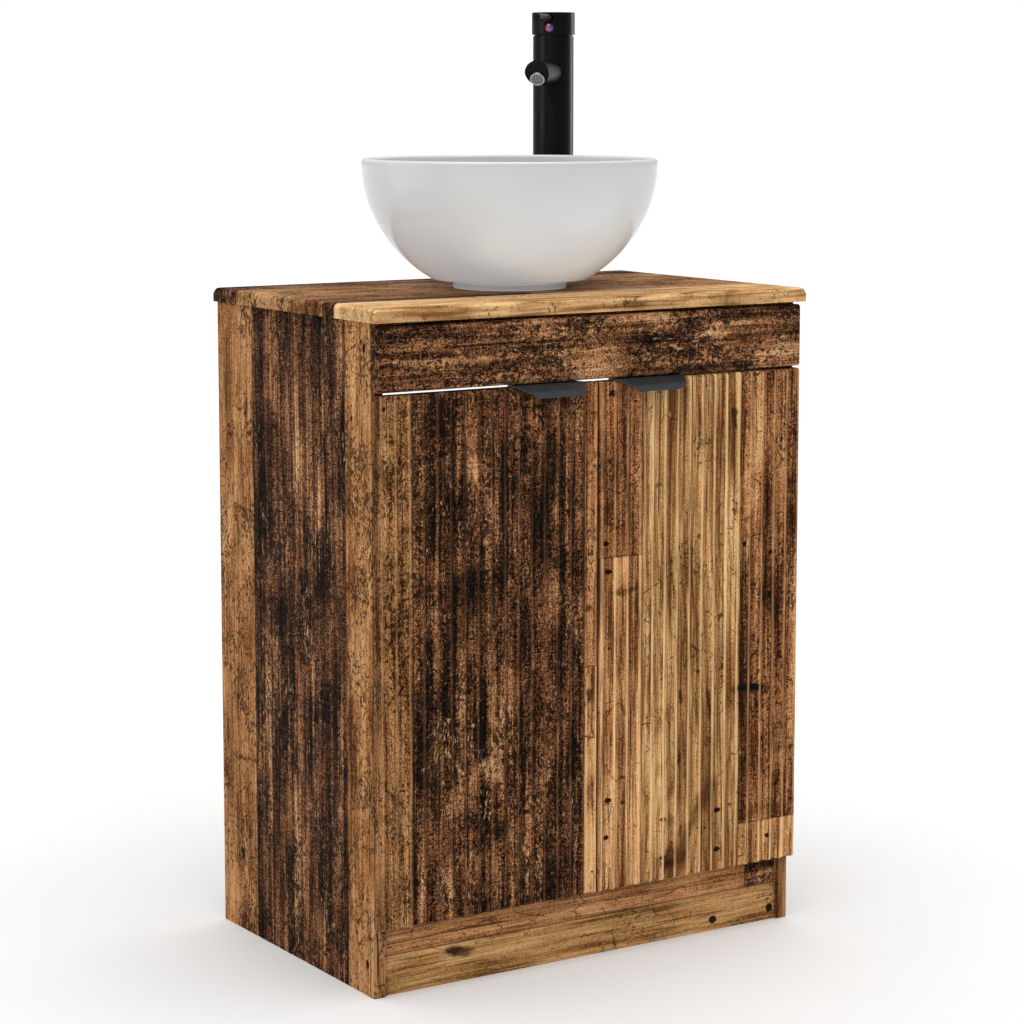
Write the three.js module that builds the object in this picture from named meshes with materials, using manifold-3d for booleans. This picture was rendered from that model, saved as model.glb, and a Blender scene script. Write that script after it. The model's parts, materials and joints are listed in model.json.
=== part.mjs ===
// Bathroom vanity cabinet: a flat-pack carcass with two fluted doors, a countertop,
// a round countertop basin with a push plug waste, and a tall single-lever basin tap.
// Units are millimetres and +Z is up. X runs across the front, and -Y is the front.
// Pieces are laid out with y = 0 at the front edges of the side panels; the whole
// group is then shifted so that the origin is under the middle of the bounding box.

import * as THREE from "three";
import { mergeVertices } from "three/addons/utils/BufferGeometryUtils.js";
import Module from "manifold-3d";

// Driving dimensions ------------------------------------------------------------

const GAP = 0.3; // clearance kept between touching pieces

const BOARD = 15; // particle board thickness
const CARCASS_WIDTH = 570;
const CARCASS_DEPTH = 358;
const TOP_WIDTH = 580;
const TOP_DEPTH = 375;
const TOP_THICKNESS = 16;
const TOP_SURFACE = 758; // height of the countertop's upper face
const TOP_UNDERSIDE = TOP_SURFACE - TOP_THICKNESS;

const PLINTH_HEIGHT = 79;
const PLINTH_SETBACK = 4;
const BOTTOM_TOP = PLINTH_HEIGHT + GAP + BOARD; // upper face of the bottom panel
const APRON_LOW = 667;
const APRON_HIGH = 738.4;
const RAIL_HEIGHT = 80;
const STRETCHER_DEPTH = 60;

const SHELF_LOW = 350;
const SHELF_FRONT = 25;
const SHELF_BACK = 335;
const SHELF_HALF = 268.2;
const PEG_RADIUS = 2.5;
const PEG_HOLE_RADIUS = 2.8;
const PEG_HOLE_DEPTH = 8;

const CAM_RADIUS = 7.5;
const CAM_DEPTH = 11;
const CAM_INSET = 24; // from a panel's end to the cam's axis

const DOOR_LOW = 79;
const DOOR_HIGH = 664;
const DOOR_INNER = 1.5; // half of the gap between the doors
const DOOR_OUTER = 284;
const DOOR_CLEARANCE = 1.4; // from the carcass to the back of a door
const DOOR_BACK = -DOOR_CLEARANCE;
const DOOR_FRONT = DOOR_BACK - BOARD;
const FLUTES = 16;
const FLUTE_MARGIN = 2.5;
const FLUTE_DEPTH = 2.4;
const RIDGE_HALF = 1.1; // half width of the flat ridge between two flutes
const FLUTE_STEPS = 4;
const DOOR_EDGE_RADIUS = 2.2;

const CUP_RADIUS = 17.5;
const CUP_DEPTH = 10;
const CUP_INSET = 22.5; // from the door's outer edge to the cup's axis
const HINGE_OFFSET = 80; // from the door's ends to the cups' axes
const HINGE_LEVELS = { lower: DOOR_LOW + HINGE_OFFSET, upper: DOOR_HIGH - HINGE_OFFSET };

const HANDLE_CENTRE = 68;
const HANDLE_SHEET = 1.5;
const HANDLE_HALF = { back: 44, edge: 47.5, nose: 35.5, lip: 26.5 };
const HANDLE_NOSE = -36.8; // foremost face of the handle's lip
const HANDLE_NOSE_HIGH = 659.2;
const HANDLE_LIP_LOW = 652.6;
const HANDLE_LEG_LOW = 646;
const HANDLE_SCREW_SPREAD = 30;
const HANDLE_SCREW_LEVEL = 653;
const SCREW_RADIUS = 1.5;
const SCREW_DEPTH = 9;

const BASIN_X = 0;
const BASIN_Y = TOP_DEPTH / 2 - (TOP_DEPTH - CARCASS_DEPTH);
const BASIN_RADIUS = 171.5;
const BASIN_HEIGHT = 150;
const BASIN_DROP = 159; // vertical half axis of the outer bowl's ellipse
const BASIN_INNER_RADIUS = 163.5;
const BASIN_INNER_DROP = 140;
const BASIN_RIM = (BASIN_RADIUS - BASIN_INNER_RADIUS) / 2;
const BASIN_FOOT_RADIUS = 66.4;
const BASIN_SEAT = 16; // height of the flat seat round the waste hole
const BASIN_SEAT_RADIUS = 34;
const WASTE_HOLE_RADIUS = 22.6;

const WASTE_RADIUS = 22;
const WASTE_BORE = 17;
const WASTE_END = 690;
const PLUG_RADIUS = 29;

const TAP_X = 156.4;
const TAP_Y = 315;
const TAP_ANGLE = 45; // degrees from straight forward, towards -X, over the basin
const TAP_RADIUS = 24.8;
const TAP_CAP_RADIUS = 26.2;
const TAP_CAP_HEIGHT = 27;
const TAP_TOTAL = 322; // height of the tap above the countertop
const TAP_RING_HEIGHT = 3;
const TAP_GROOVE = 1.6;
const TAP_BODY_TOP = TAP_TOTAL - TAP_CAP_HEIGHT - TAP_GROOVE;
const SPOUT_LEVEL = 248.6;
const SPOUT_RADIUS = 14.6;
const SPOUT_REACH = 100;
const AERATOR_RADIUS = 8.9;
const AERATOR_TILT = 35; // degrees below the spout's own line
const LEVER_RADIUS = 4.3;
const LEVER_LEVEL = TAP_TOTAL - 7.1;
const LEVER_ROOT = 12.4; // from the tap's axis to the rod's inner end
const DOT_RADIUS = 5.4;
const DOT_LEVEL = TAP_TOTAL - 19;
const DOT_SEAT = 24.6; // from the tap's axis to the bottom of the indicator's seat
const SHANK_RADIUS = 14;
const SHANK_END = 698;

const FRONT_MOST = HANDLE_NOSE;
const BACK_MOST = CARCASS_DEPTH;

// Finishes ----------------------------------------------------------------------

const FINISHES = {
  wood: { color: 0x6b4a2e, roughness: 0.62, metalness: 0 },
  darkWood: { color: 0x3a281b, roughness: 0.62, metalness: 0 },
  paleWood: { color: 0x9a7649, roughness: 0.62, metalness: 0 },
  slate: { color: 0x3c4348, roughness: 0.45, metalness: 0.8 },
  black: { color: 0x161616, roughness: 0.5, metalness: 0.3 },
  ceramic: { color: 0xe6e7e8, roughness: 0.12, metalness: 0 },
  chrome: { color: 0xc4c7c9, roughness: 0.12, metalness: 1 },
  nickel: { color: 0xa4a39f, roughness: 0.35, metalness: 1 },
  rubber: { color: 0x22211f, roughness: 0.85, metalness: 0 },
  felt: { color: 0xc9c3b6, roughness: 0.9, metalness: 0 },
  indicator: { color: 0x9a2a3a, roughness: 0.4, metalness: 0 },
};

// Solid helpers -----------------------------------------------------------------

const wasm = await Module();
wasm.setup();

// A closed geometry as a manifold solid, turned to face outwards.
function solidOf(geometry) {
  const bare = geometry.clone();
  bare.deleteAttribute("normal");
  bare.deleteAttribute("uv");
  const merged = mergeVertices(bare, 1e-4);
  const triVerts = new Uint32Array(merged.index.array);
  const vertProperties = new Float32Array(merged.attributes.position.array);
  const made = new wasm.Manifold(
    new wasm.Mesh({ numProp: 3, vertProperties, triVerts }),
  );
  if (made.volume() > 0) return made;
  for (let i = 0; i < triVerts.length; i += 3) {
    [triVerts[i + 1], triVerts[i + 2]] = [triVerts[i + 2], triVerts[i + 1]];
  }
  return new wasm.Manifold(new wasm.Mesh({ numProp: 3, vertProperties, triVerts }));
}

function geometryOf(solid) {
  const mesh = solid.getMesh();
  const points = new Float32Array(mesh.numVert * 3);
  for (let i = 0; i < mesh.numVert; i++) {
    points.set(mesh.vertProperties.subarray(i * mesh.numProp, i * mesh.numProp + 3), i * 3);
  }
  return new THREE.BufferGeometry()
    .setAttribute("position", new THREE.BufferAttribute(points, 3))
    .setIndex(new THREE.BufferAttribute(new Uint32Array(mesh.triVerts), 1));
}

function cut(geometry, ...tools) {
  return geometryOf(tools.reduce((left, t) => left.subtract(solidOf(t)), solidOf(geometry)));
}

function join(first, ...others) {
  return geometryOf(others.reduce((whole, o) => whole.add(solidOf(o)), solidOf(first)));
}

function common(first, second) {
  return geometryOf(solidOf(first).intersect(solidOf(second)));
}

// A box from its lowest and highest corners.
function block([x0, y0, z0], [x1, y1, z1]) {
  return new THREE.BoxGeometry(x1 - x0, y1 - y0, z1 - z0).translate(
    (x0 + x1) / 2,
    (y0 + y1) / 2,
    (z0 + z1) / 2,
  );
}

// A round rod along x, y or z, from its start point.
function rod(axis, radius, [x, y, z], length, sides = 24) {
  const made = new THREE.CylinderGeometry(radius, radius, length, sides);
  made.translate(0, length / 2, 0);
  if (axis === "x") made.rotateZ(-Math.PI / 2);
  if (axis === "z") made.rotateX(Math.PI / 2);
  return made.translate(x, y, z);
}

// A body turned about the z axis from [radius, height] points, closed on itself or on the axis.
function turned(points, sides = 32) {
  const profile = points.map(([r, z]) => new THREE.Vector2(r, z));
  return geometryOf(solidOf(new THREE.LatheGeometry(profile, sides).rotateX(Math.PI / 2)));
}

// A flat outline of [x, y] points raised from z = low to z = high.
function raised(points, low, high) {
  const shape = new THREE.Shape(points.map(([x, y]) => new THREE.Vector2(x, y)));
  return new THREE.ExtrudeGeometry(shape, { depth: high - low, bevelEnabled: false }).translate(
    0,
    0,
    low,
  );
}

// A side view of [y, z] points, run along x.
function swept(points, x0, x1) {
  return raised(points, x0, x1).rotateX(Math.PI / 2).rotateZ(Math.PI / 2);
}

// A front view of [x, z] points, run along y.
function deepened(points, y0, y1) {
  return raised(points, -y1, -y0).rotateX(Math.PI / 2);
}

function hexagonNut(acrossFlats, boreRadius, low, high) {
  const nut = new THREE.CylinderGeometry(
    acrossFlats / Math.sqrt(3),
    acrossFlats / Math.sqrt(3),
    high - low,
    6,
  );
  nut.rotateX(Math.PI / 2).translate(0, 0, (low + high) / 2);
  return cut(nut, rod("z", boreRadius, [0, 0, low - 1], high - low + 2));
}

// An ellipse's radius at a height below its widest level.
const bowlRadius = (radius, drop, depth) => radius * Math.sqrt(1 - (depth / drop) ** 2);

// The assembly ------------------------------------------------------------------

const vanity = new THREE.Group();
vanity.position.y = -(FRONT_MOST + BACK_MOST) / 2;

function add(parent, name, finish, geometry) {
  const mesh = new THREE.Mesh(geometry, new THREE.MeshStandardMaterial(FINISHES[finish]));
  mesh.name = name;
  parent.add(mesh);
}

const SIDES = [
  ["left", -1],
  ["right", 1],
];
const insideFace = CARCASS_WIDTH / 2 - BOARD;
const betweenSides = insideFace - GAP;
const panelTop = TOP_UNDERSIDE - GAP;
const pegPlaces = { front: SHELF_FRONT + 35, rear: SHELF_BACK - 35 };
const pegLevel = SHELF_LOW - GAP - PEG_RADIUS;

// Mirrors a geometry across x = 0 for side -1, and keeps its faces pointing out.
function onSide(side, geometry) {
  return side > 0 ? geometry : geometryOf(solidOf(geometry.scale(-1, 1, 1)));
}

// Carcass -------------------------------------------------------------------------

function sidePanel() {
  const panel = block([insideFace, 0, 0], [CARCASS_WIDTH / 2, CARCASS_DEPTH, panelTop]);
  const holes = Object.values(pegPlaces).map((y) =>
    rod("x", PEG_HOLE_RADIUS, [insideFace - 1, y, pegLevel], PEG_HOLE_DEPTH + 1, 12),
  );
  return cut(panel, ...holes);
}

// A stepped shelf peg: a shank in the panel, a collar, and the peg under the shelf.
function shelfPeg(y) {
  const collar = 1.5;
  const peg = turned(
    [
      [0, -7.5],
      [PEG_RADIUS, -7.5],
      [PEG_RADIUS, GAP],
      [PEG_RADIUS + 1.8, GAP],
      [PEG_RADIUS + 1.8, GAP + collar],
      [PEG_RADIUS, GAP + collar],
      [PEG_RADIUS, 9],
      [0, 9],
    ],
    12,
  );
  return peg.rotateY(-Math.PI / 2).translate(insideFace, y, pegLevel);
}

// A cam lock's slotted drum, seated in a blind hole and showing its face along +Z.
function camLock() {
  const drum = rod("z", CAM_RADIUS, [0, 0, -CAM_DEPTH], CAM_DEPTH, 16);
  const slots = [
    block([-4.5, -0.7, -1.5], [4.5, 0.7, 1]),
    block([-0.7, -4.5, -1.5], [0.7, 4.5, 1]),
  ];
  return cut(drum, ...slots);
}

const camHole = (x, y, z) =>
  rod("z", CAM_RADIUS + GAP, [x, y, z - CAM_DEPTH - GAP], CAM_DEPTH + GAP + 1, 16);

function buildCarcass() {
  const bottomCams = { front: 50, rear: CARCASS_DEPTH - 50 };
  const stretcherLow = panelTop - BOARD;
  const camX = betweenSides - CAM_INSET;

  const bottomHoles = SIDES.flatMap(([, side]) =>
    Object.values(bottomCams).map((y) => camHole(side * camX, y, BOTTOM_TOP)),
  );
  const bottom = block(
    [-betweenSides, GAP, BOTTOM_TOP - BOARD],
    [betweenSides, CARCASS_DEPTH, BOTTOM_TOP],
  );
  add(vanity, "bottom_panel", "wood", cut(bottom, ...bottomHoles));
  add(
    vanity,
    "plinth_board",
    "paleWood",
    block(
      [-betweenSides, PLINTH_SETBACK, 0],
      [betweenSides, PLINTH_SETBACK + BOARD, PLINTH_HEIGHT],
    ),
  );
  add(
    vanity,
    "back_rail_bottom",
    "wood",
    block(
      [-betweenSides, CARCASS_DEPTH - BOARD, BOTTOM_TOP + GAP],
      [betweenSides, CARCASS_DEPTH, BOTTOM_TOP + RAIL_HEIGHT],
    ),
  );
  add(
    vanity,
    "back_rail_top",
    "wood",
    block(
      [-betweenSides, CARCASS_DEPTH - BOARD, panelTop - RAIL_HEIGHT],
      [betweenSides, CARCASS_DEPTH, panelTop],
    ),
  );

  const stretcherHoles = SIDES.map(([, side]) =>
    camHole(side * camX, STRETCHER_DEPTH / 2, 0)
      .rotateX(Math.PI)
      .translate(0, STRETCHER_DEPTH, stretcherLow),
  );
  const stretcher = block(
    [-betweenSides, GAP, stretcherLow],
    [betweenSides, STRETCHER_DEPTH, panelTop],
  );
  add(vanity, "front_stretcher", "wood", cut(stretcher, ...stretcherHoles));
  add(
    vanity,
    "apron_panel",
    "darkWood",
    block(
      [-CARCASS_WIDTH / 2, -GAP - BOARD, APRON_LOW],
      [CARCASS_WIDTH / 2, -GAP, APRON_HIGH],
    ),
  );
  add(
    vanity,
    "shelf",
    "wood",
    block([-SHELF_HALF, SHELF_FRONT, SHELF_LOW], [SHELF_HALF, SHELF_BACK, SHELF_LOW + BOARD]),
  );

  for (const [word, side] of SIDES) {
    add(vanity, `side_panel_${word}`, "darkWood", onSide(side, sidePanel()));
    for (const [place, y] of Object.entries(pegPlaces)) {
      add(vanity, `shelf_peg_${word}_${place}`, "nickel", onSide(side, shelfPeg(y)));
    }
    for (const [place, y] of Object.entries(bottomCams)) {
      const cam = camLock().translate(side * camX, y, BOTTOM_TOP);
      add(vanity, `cam_lock_${word}_${place}`, "nickel", cam);
    }
    const upperCam = camLock()
      .rotateX(Math.PI)
      .translate(side * camX, STRETCHER_DEPTH / 2, stretcherLow);
    add(vanity, `cam_lock_${word}_top`, "nickel", upperCam);
  }
}

// Angled fixing blocks that hold the countertop to the side panels.
function buildCornerBlocks() {
  const size = 22;
  const places = { front: 110, rear: 300 };
  for (const [word, side] of SIDES) {
    for (const [place, y] of Object.entries(places)) {
      const outer = betweenSides;
      const wedge = deepened(
        [
          [outer - size, panelTop],
          [outer - size, panelTop - 6],
          [outer - 6, panelTop - size],
          [outer, panelTop - size],
          [outer, panelTop],
        ],
        y - size / 2,
        y + size / 2,
      );
      add(vanity, `corner_block_${word}_${place}`, "felt", onSide(side, wedge));
    }
  }
}

function buildCountertop() {
  const slab = block(
    [-TOP_WIDTH / 2, CARCASS_DEPTH - TOP_DEPTH, TOP_UNDERSIDE],
    [TOP_WIDTH / 2, CARCASS_DEPTH, TOP_SURFACE],
  );
  const through = TOP_THICKNESS + 2;
  add(
    vanity,
    "countertop",
    "paleWood",
    cut(
      slab,
      rod("z", 25, [BASIN_X, BASIN_Y, TOP_UNDERSIDE - 1], through, 24),
      rod("z", 17.5, [TAP_X, TAP_Y, TOP_UNDERSIDE - 1], through, 24),
    ),
  );
}

// Doors -----------------------------------------------------------------------------

const flutePitch = (DOOR_OUTER - DOOR_INNER - 2 * FLUTE_MARGIN) / FLUTES;

// The right door's outline seen from above, with shallow round flutes along its front.
function doorOutline() {
  const points = [
    [DOOR_OUTER, DOOR_BACK],
    [DOOR_INNER, DOOR_BACK],
  ];
  const corner = (centreX, start) => {
    for (let i = 0; i <= 3; i++) {
      const a = start + (i / 3) * (Math.PI / 2);
      points.push([
        centreX + DOOR_EDGE_RADIUS * Math.cos(a),
        DOOR_FRONT + DOOR_EDGE_RADIUS + DOOR_EDGE_RADIUS * Math.sin(a),
      ]);
    }
  };
  corner(DOOR_INNER + DOOR_EDGE_RADIUS, Math.PI);
  const chord = flutePitch - 2 * RIDGE_HALF;
  for (let flute = 0; flute < FLUTES; flute++) {
    const start = DOOR_INNER + FLUTE_MARGIN + flute * flutePitch + RIDGE_HALF;
    for (let i = 0; i <= FLUTE_STEPS; i++) {
      const across = (2 * i) / FLUTE_STEPS - 1;
      points.push([start + (chord * i) / FLUTE_STEPS, DOOR_FRONT + FLUTE_DEPTH * (1 - across ** 2)]);
    }
  }
  corner(DOOR_OUTER - DOOR_EDGE_RADIUS, 1.5 * Math.PI);
  return points;
}

const cupX = DOOR_OUTER - CUP_INSET;
const screwXs = {
  inner: HANDLE_CENTRE - HANDLE_SCREW_SPREAD,
  outer: HANDLE_CENTRE + HANDLE_SCREW_SPREAD,
};

function doorPanel() {
  const pockets = Object.values(HINGE_LEVELS).map((z) =>
    rod("y", CUP_RADIUS + GAP, [cupX, DOOR_BACK - CUP_DEPTH - GAP, z], CUP_DEPTH + GAP + 1, 20),
  );
  const screwHoles = Object.values(screwXs).map((x) =>
    rod("y", SCREW_RADIUS + GAP, [x, DOOR_BACK - SCREW_DEPTH - GAP, HANDLE_SCREW_LEVEL], 12, 10),
  );
  return cut(raised(doorOutline(), DOOR_LOW, DOOR_HIGH), ...pockets, ...screwHoles);
}

// An open hinge cup with a thin mounting flange on the back of the door.
function hingeCup(z) {
  const wall = 1.2;
  const flange = 0.8;
  const cup = turned(
    [
      [0, 0],
      [CUP_RADIUS, 0],
      [CUP_RADIUS, CUP_DEPTH],
      [CUP_RADIUS, CUP_DEPTH + flange],
      [CUP_RADIUS - wall, CUP_DEPTH + flange],
      [CUP_RADIUS - wall, wall],
      [0, wall],
    ],
    20,
  );
  const wing = deepened(
    [
      [-CUP_RADIUS - 3, -24],
      [-8, -24],
      [-8, 24],
      [-CUP_RADIUS - 3, 24],
    ],
    GAP,
    flange,
  );
  const cupBack = cup.rotateX(-Math.PI / 2).translate(0, -CUP_DEPTH, 0);
  const bore = rod("y", CUP_RADIUS - wall, [0, -CUP_DEPTH + wall, 0], CUP_DEPTH + 5, 20);
  return cut(join(cupBack, wing), bore).translate(cupX, DOOR_BACK, z);
}

// An edge pull folded from sheet: a leg behind the door, a plate over its top edge,
// a sloping nose in front and a short lip, with ends that taper towards the lip.
function edgePull() {
  const s = HANDLE_SHEET;
  const legFace = DOOR_BACK + GAP;
  const low = DOOR_HIGH + GAP;
  const bendFront = DOOR_FRONT - 1.2;
  const profile = [
    [legFace, HANDLE_LEG_LOW],
    [legFace + s, HANDLE_LEG_LOW],
    [legFace + s, low + s],
    [bendFront, low + s],
    [HANDLE_NOSE + 1.4, HANDLE_NOSE_HIGH + 0.6],
    [HANDLE_NOSE + 0.4, HANDLE_NOSE_HIGH],
    [HANDLE_NOSE, HANDLE_NOSE_HIGH - 1.2],
    [HANDLE_NOSE, HANDLE_LIP_LOW],
    [HANDLE_NOSE + s, HANDLE_LIP_LOW],
    [HANDLE_NOSE + s, HANDLE_NOSE_HIGH - 1.3],
    [bendFront - 0.3, low],
    [legFace, low],
  ];
  const half = HANDLE_HALF;
  const plan = [
    [-half.back, legFace + s + 1],
    [-half.back, legFace],
    [-half.edge, DOOR_FRONT],
    [-half.nose, HANDLE_NOSE - 0.01],
    [half.nose, HANDLE_NOSE - 0.01],
    [half.edge, DOOR_FRONT],
    [half.back, legFace],
    [half.back, legFace + s + 1],
  ];
  const lipCuts = [-1, 1].map((side) =>
    deepened(
      [
        [side * half.lip, HANDLE_LIP_LOW - 1],
        [side * (half.nose + 1), HANDLE_NOSE_HIGH],
        [side * (half.nose + 20), HANDLE_NOSE_HIGH],
        [side * (half.nose + 20), HANDLE_LIP_LOW - 1],
      ],
      HANDLE_NOSE - 1,
      HANDLE_NOSE + s + 0.3,
    ),
  );
  const sheet = common(
    swept(profile, -half.edge, half.edge),
    raised(plan, HANDLE_LEG_LOW - 1, low + s + 1),
  );
  const holes = [-1, 1].map((side) =>
    rod(
      "y",
      SCREW_RADIUS + GAP,
      [side * HANDLE_SCREW_SPREAD, legFace - 1, HANDLE_SCREW_LEVEL],
      s + 2,
      10,
    ),
  );
  return cut(sheet, ...lipCuts, ...holes).translate(HANDLE_CENTRE, 0, 0);
}

// A pan-head screw from behind the handle's leg into the door.
function handleScrew(x) {
  const legBack = DOOR_BACK + GAP + HANDLE_SHEET + GAP;
  const shank = legBack - (DOOR_BACK - SCREW_DEPTH);
  const screw = turned(
    [
      [0, -shank],
      [SCREW_RADIUS, -shank + 1.5],
      [SCREW_RADIUS, 0],
      [3.4, 0],
      [3.2, 1.2],
      [1.8, 2],
      [0, 2],
    ],
    12,
  );
  return screw.rotateX(-Math.PI / 2).translate(x, legBack, HANDLE_SCREW_LEVEL);
}

const BUMPER_RADIUS = 3.5;
const bumperPlaces = { lower: [20, BOTTOM_TOP - BOARD / 2], upper: [274, DOOR_HIGH - 24] };

function buildDoors() {
  for (const [word, side] of SIDES) {
    add(vanity, `door_panel_${word}`, side < 0 ? "darkWood" : "paleWood", onSide(side, doorPanel()));
    add(vanity, `door_handle_${word}`, "slate", onSide(side, edgePull()));
    for (const [level, z] of Object.entries(HINGE_LEVELS)) {
      add(vanity, `hinge_cup_${word}_${level}`, "nickel", onSide(side, hingeCup(z)));
    }
    for (const [place, x] of Object.entries(screwXs)) {
      add(vanity, `handle_screw_${word}_${place}`, "nickel", onSide(side, handleScrew(x)));
    }
    for (const [place, [x, z]] of Object.entries(bumperPlaces)) {
      const thickness = DOOR_CLEARANCE - 2 * GAP;
      const pad = rod("y", BUMPER_RADIUS, [x, DOOR_BACK + GAP, z], thickness, 16);
      add(vanity, `door_bumper_${word}_${place}`, "felt", onSide(side, pad));
    }
  }
}

// Hinge arms on their mounting plates, on the inner faces of the side panels.
function buildHingeArms() {
  const face = betweenSides;
  const outline = [
    [face, 2],
    [face, 62],
    [face - 3, 62],
    [face - 4, 56],
    [face - 11, 52],
    [face - 12, 8],
    [face - 9, 3],
    [face - 9, 2],
  ];
  for (const [word, side] of SIDES) {
    for (const [level, z] of Object.entries(HINGE_LEVELS)) {
      const arm = raised(outline, z - 6.5, z + 6.5);
      const plate = block([face - 2.5, 29, z - 22], [face, 49, z + 22]);
      add(vanity, `hinge_arm_${word}_${level}`, "nickel", onSide(side, join(arm, plate)));
    }
  }
}

// Basin and waste -------------------------------------------------------------------

function basinProfile() {
  const outer = [];
  const steps = 9;
  const lowest = 10.5;
  for (let i = 0; i <= steps; i++) {
    const angle = (Math.asin((BASIN_HEIGHT - BASIN_RIM - lowest) / BASIN_DROP) * (steps - i)) / steps;
    const depth = BASIN_DROP * Math.sin(angle);
    outer.push([
      bowlRadius(BASIN_RADIUS, BASIN_DROP, depth),
      BASIN_HEIGHT - BASIN_RIM - depth,
    ]);
  }
  const rim = [];
  const rimSteps = 4;
  for (let i = 1; i < rimSteps; i++) {
    const a = (i / rimSteps) * Math.PI;
    rim.push([
      BASIN_RADIUS - BASIN_RIM + BASIN_RIM * Math.cos(a),
      BASIN_HEIGHT - BASIN_RIM + BASIN_RIM * Math.sin(a),
    ]);
  }
  const inner = [];
  const innerEnd = Math.asin((BASIN_HEIGHT - BASIN_RIM - BASIN_SEAT - 1.5) / BASIN_INNER_DROP);
  const innerSteps = 7;
  for (let i = 0; i <= innerSteps; i++) {
    const depth = BASIN_INNER_DROP * Math.sin((innerEnd * i) / innerSteps);
    inner.push([
      bowlRadius(BASIN_INNER_RADIUS, BASIN_INNER_DROP, depth),
      BASIN_HEIGHT - BASIN_RIM - depth,
    ]);
  }
  const start = [WASTE_HOLE_RADIUS, 4];
  return [
    start,
    [54, 4],
    [56, GAP],
    [BASIN_FOOT_RADIUS - 1.5, GAP],
    [BASIN_FOOT_RADIUS, GAP + 1.5],
    [BASIN_FOOT_RADIUS, 6.5],
    [BASIN_FOOT_RADIUS + 3, 8.8],
    ...outer,
    ...rim,
    ...inner,
    [BASIN_SEAT_RADIUS, BASIN_SEAT],
    [WASTE_HOLE_RADIUS, BASIN_SEAT],
    start,
  ];
}

function buildBasin() {
  const place = (geometry) => geometry.translate(BASIN_X, BASIN_Y, 0);
  const onTop = (geometry) => place(geometry).translate(0, 0, TOP_SURFACE);
  add(vanity, "basin", "ceramic", onTop(turned(basinProfile(), 44)));

  const end = WASTE_END - TOP_SURFACE;
  const seat = BASIN_SEAT + GAP;
  const body = [
    [WASTE_BORE, end],
    [WASTE_RADIUS - 1.5, end],
    [WASTE_RADIUS, end + 1.5],
    [WASTE_RADIUS, seat],
    [PLUG_RADIUS + 2, seat],
    [PLUG_RADIUS + 3, seat + 1],
    [PLUG_RADIUS + 1, seat + 2.2],
    [WASTE_BORE + 3, seat + 2.2],
    [WASTE_BORE, seat - 2],
    [WASTE_BORE, end],
  ];
  add(vanity, "waste_body", "chrome", onTop(turned(body, 24)));

  const capLow = seat + 2.2 + GAP;
  const plug = [
    [0, seat - 30],
    [4, seat - 30],
    [4, seat - 4],
    [12, seat - 1],
    [12, capLow],
    [PLUG_RADIUS - 1, capLow],
    [PLUG_RADIUS, capLow + 1.2],
    [PLUG_RADIUS - 1.5, capLow + 3],
    [PLUG_RADIUS * 0.6, capLow + 5],
    [0, capLow + 6],
  ];
  add(vanity, "waste_plug", "chrome", onTop(turned(plug, 20)));

  const under = TOP_UNDERSIDE - GAP;
  const gasketInner = WASTE_RADIUS + GAP;
  const gasket = [
    [gasketInner, under - 4],
    [32, under - 4],
    [32, under],
    [gasketInner, under],
    [gasketInner, under - 4],
  ];
  add(vanity, "waste_gasket", "rubber", place(turned(gasket, 20)));
  const nutTop = under - 4 - GAP;
  add(vanity, "waste_locknut", "chrome", place(hexagonNut(56, gasketInner, nutTop - 12, nutTop)));
}

// Tap ---------------------------------------------------------------------------------

// Moves a geometry modelled with the lever along -Y on the z axis to the tap's place.
function atTap(geometry) {
  return geometry
    .rotateZ(-THREE.MathUtils.degToRad(TAP_ANGLE))
    .translate(TAP_X, TAP_Y, TOP_SURFACE);
}

function tapBody() {
  const low = TAP_RING_HEIGHT + 2 * GAP;
  const column = [
    [0, low],
    [TAP_RADIUS, low],
    [TAP_RADIUS, TAP_BODY_TOP - 0.8],
    [TAP_RADIUS - 0.8, TAP_BODY_TOP],
    [0, TAP_BODY_TOP],
  ];
  return turned(column, 28);
}

// The spout's tube meets the column's round face and ends in a face cut for the aerator.
function tapSpout() {
  const tube = rod("y", SPOUT_RADIUS, [0, -SPOUT_REACH, SPOUT_LEVEL], SPOUT_REACH, 24);
  const column = rod("z", TAP_RADIUS + GAP, [0, 0, SPOUT_LEVEL - 30], 60, 48);
  const tilt = THREE.MathUtils.degToRad(AERATOR_TILT);
  const chamfer = block([-30, -30, -60], [30, 0, 60])
    .rotateX(tilt)
    .translate(0, -SPOUT_REACH, SPOUT_LEVEL + 0.5);
  const socket = aeratorAt(rod("y", AERATOR_RADIUS + GAP, [0, -8, 0], 14, 20));
  return cut(tube, column, chamfer, socket);
}

function aeratorAt(geometry) {
  const tilt = THREE.MathUtils.degToRad(AERATOR_TILT);
  return geometry.rotateX(tilt).translate(0, -SPOUT_REACH + 5, SPOUT_LEVEL - 6.9);
}

// A short collar with a recessed face for the mesh.
function tapAerator() {
  const collar = turned(
    [
      [0, -5.5],
      [AERATOR_RADIUS, -5.5],
      [AERATOR_RADIUS, 1.6],
      [AERATOR_RADIUS - 0.8, 2.2],
      [AERATOR_RADIUS - 2, 2.2],
      [AERATOR_RADIUS - 2, 1.2],
      [0, 1.2],
    ],
    20,
  );
  return aeratorAt(collar.rotateX(Math.PI / 2));
}

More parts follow.
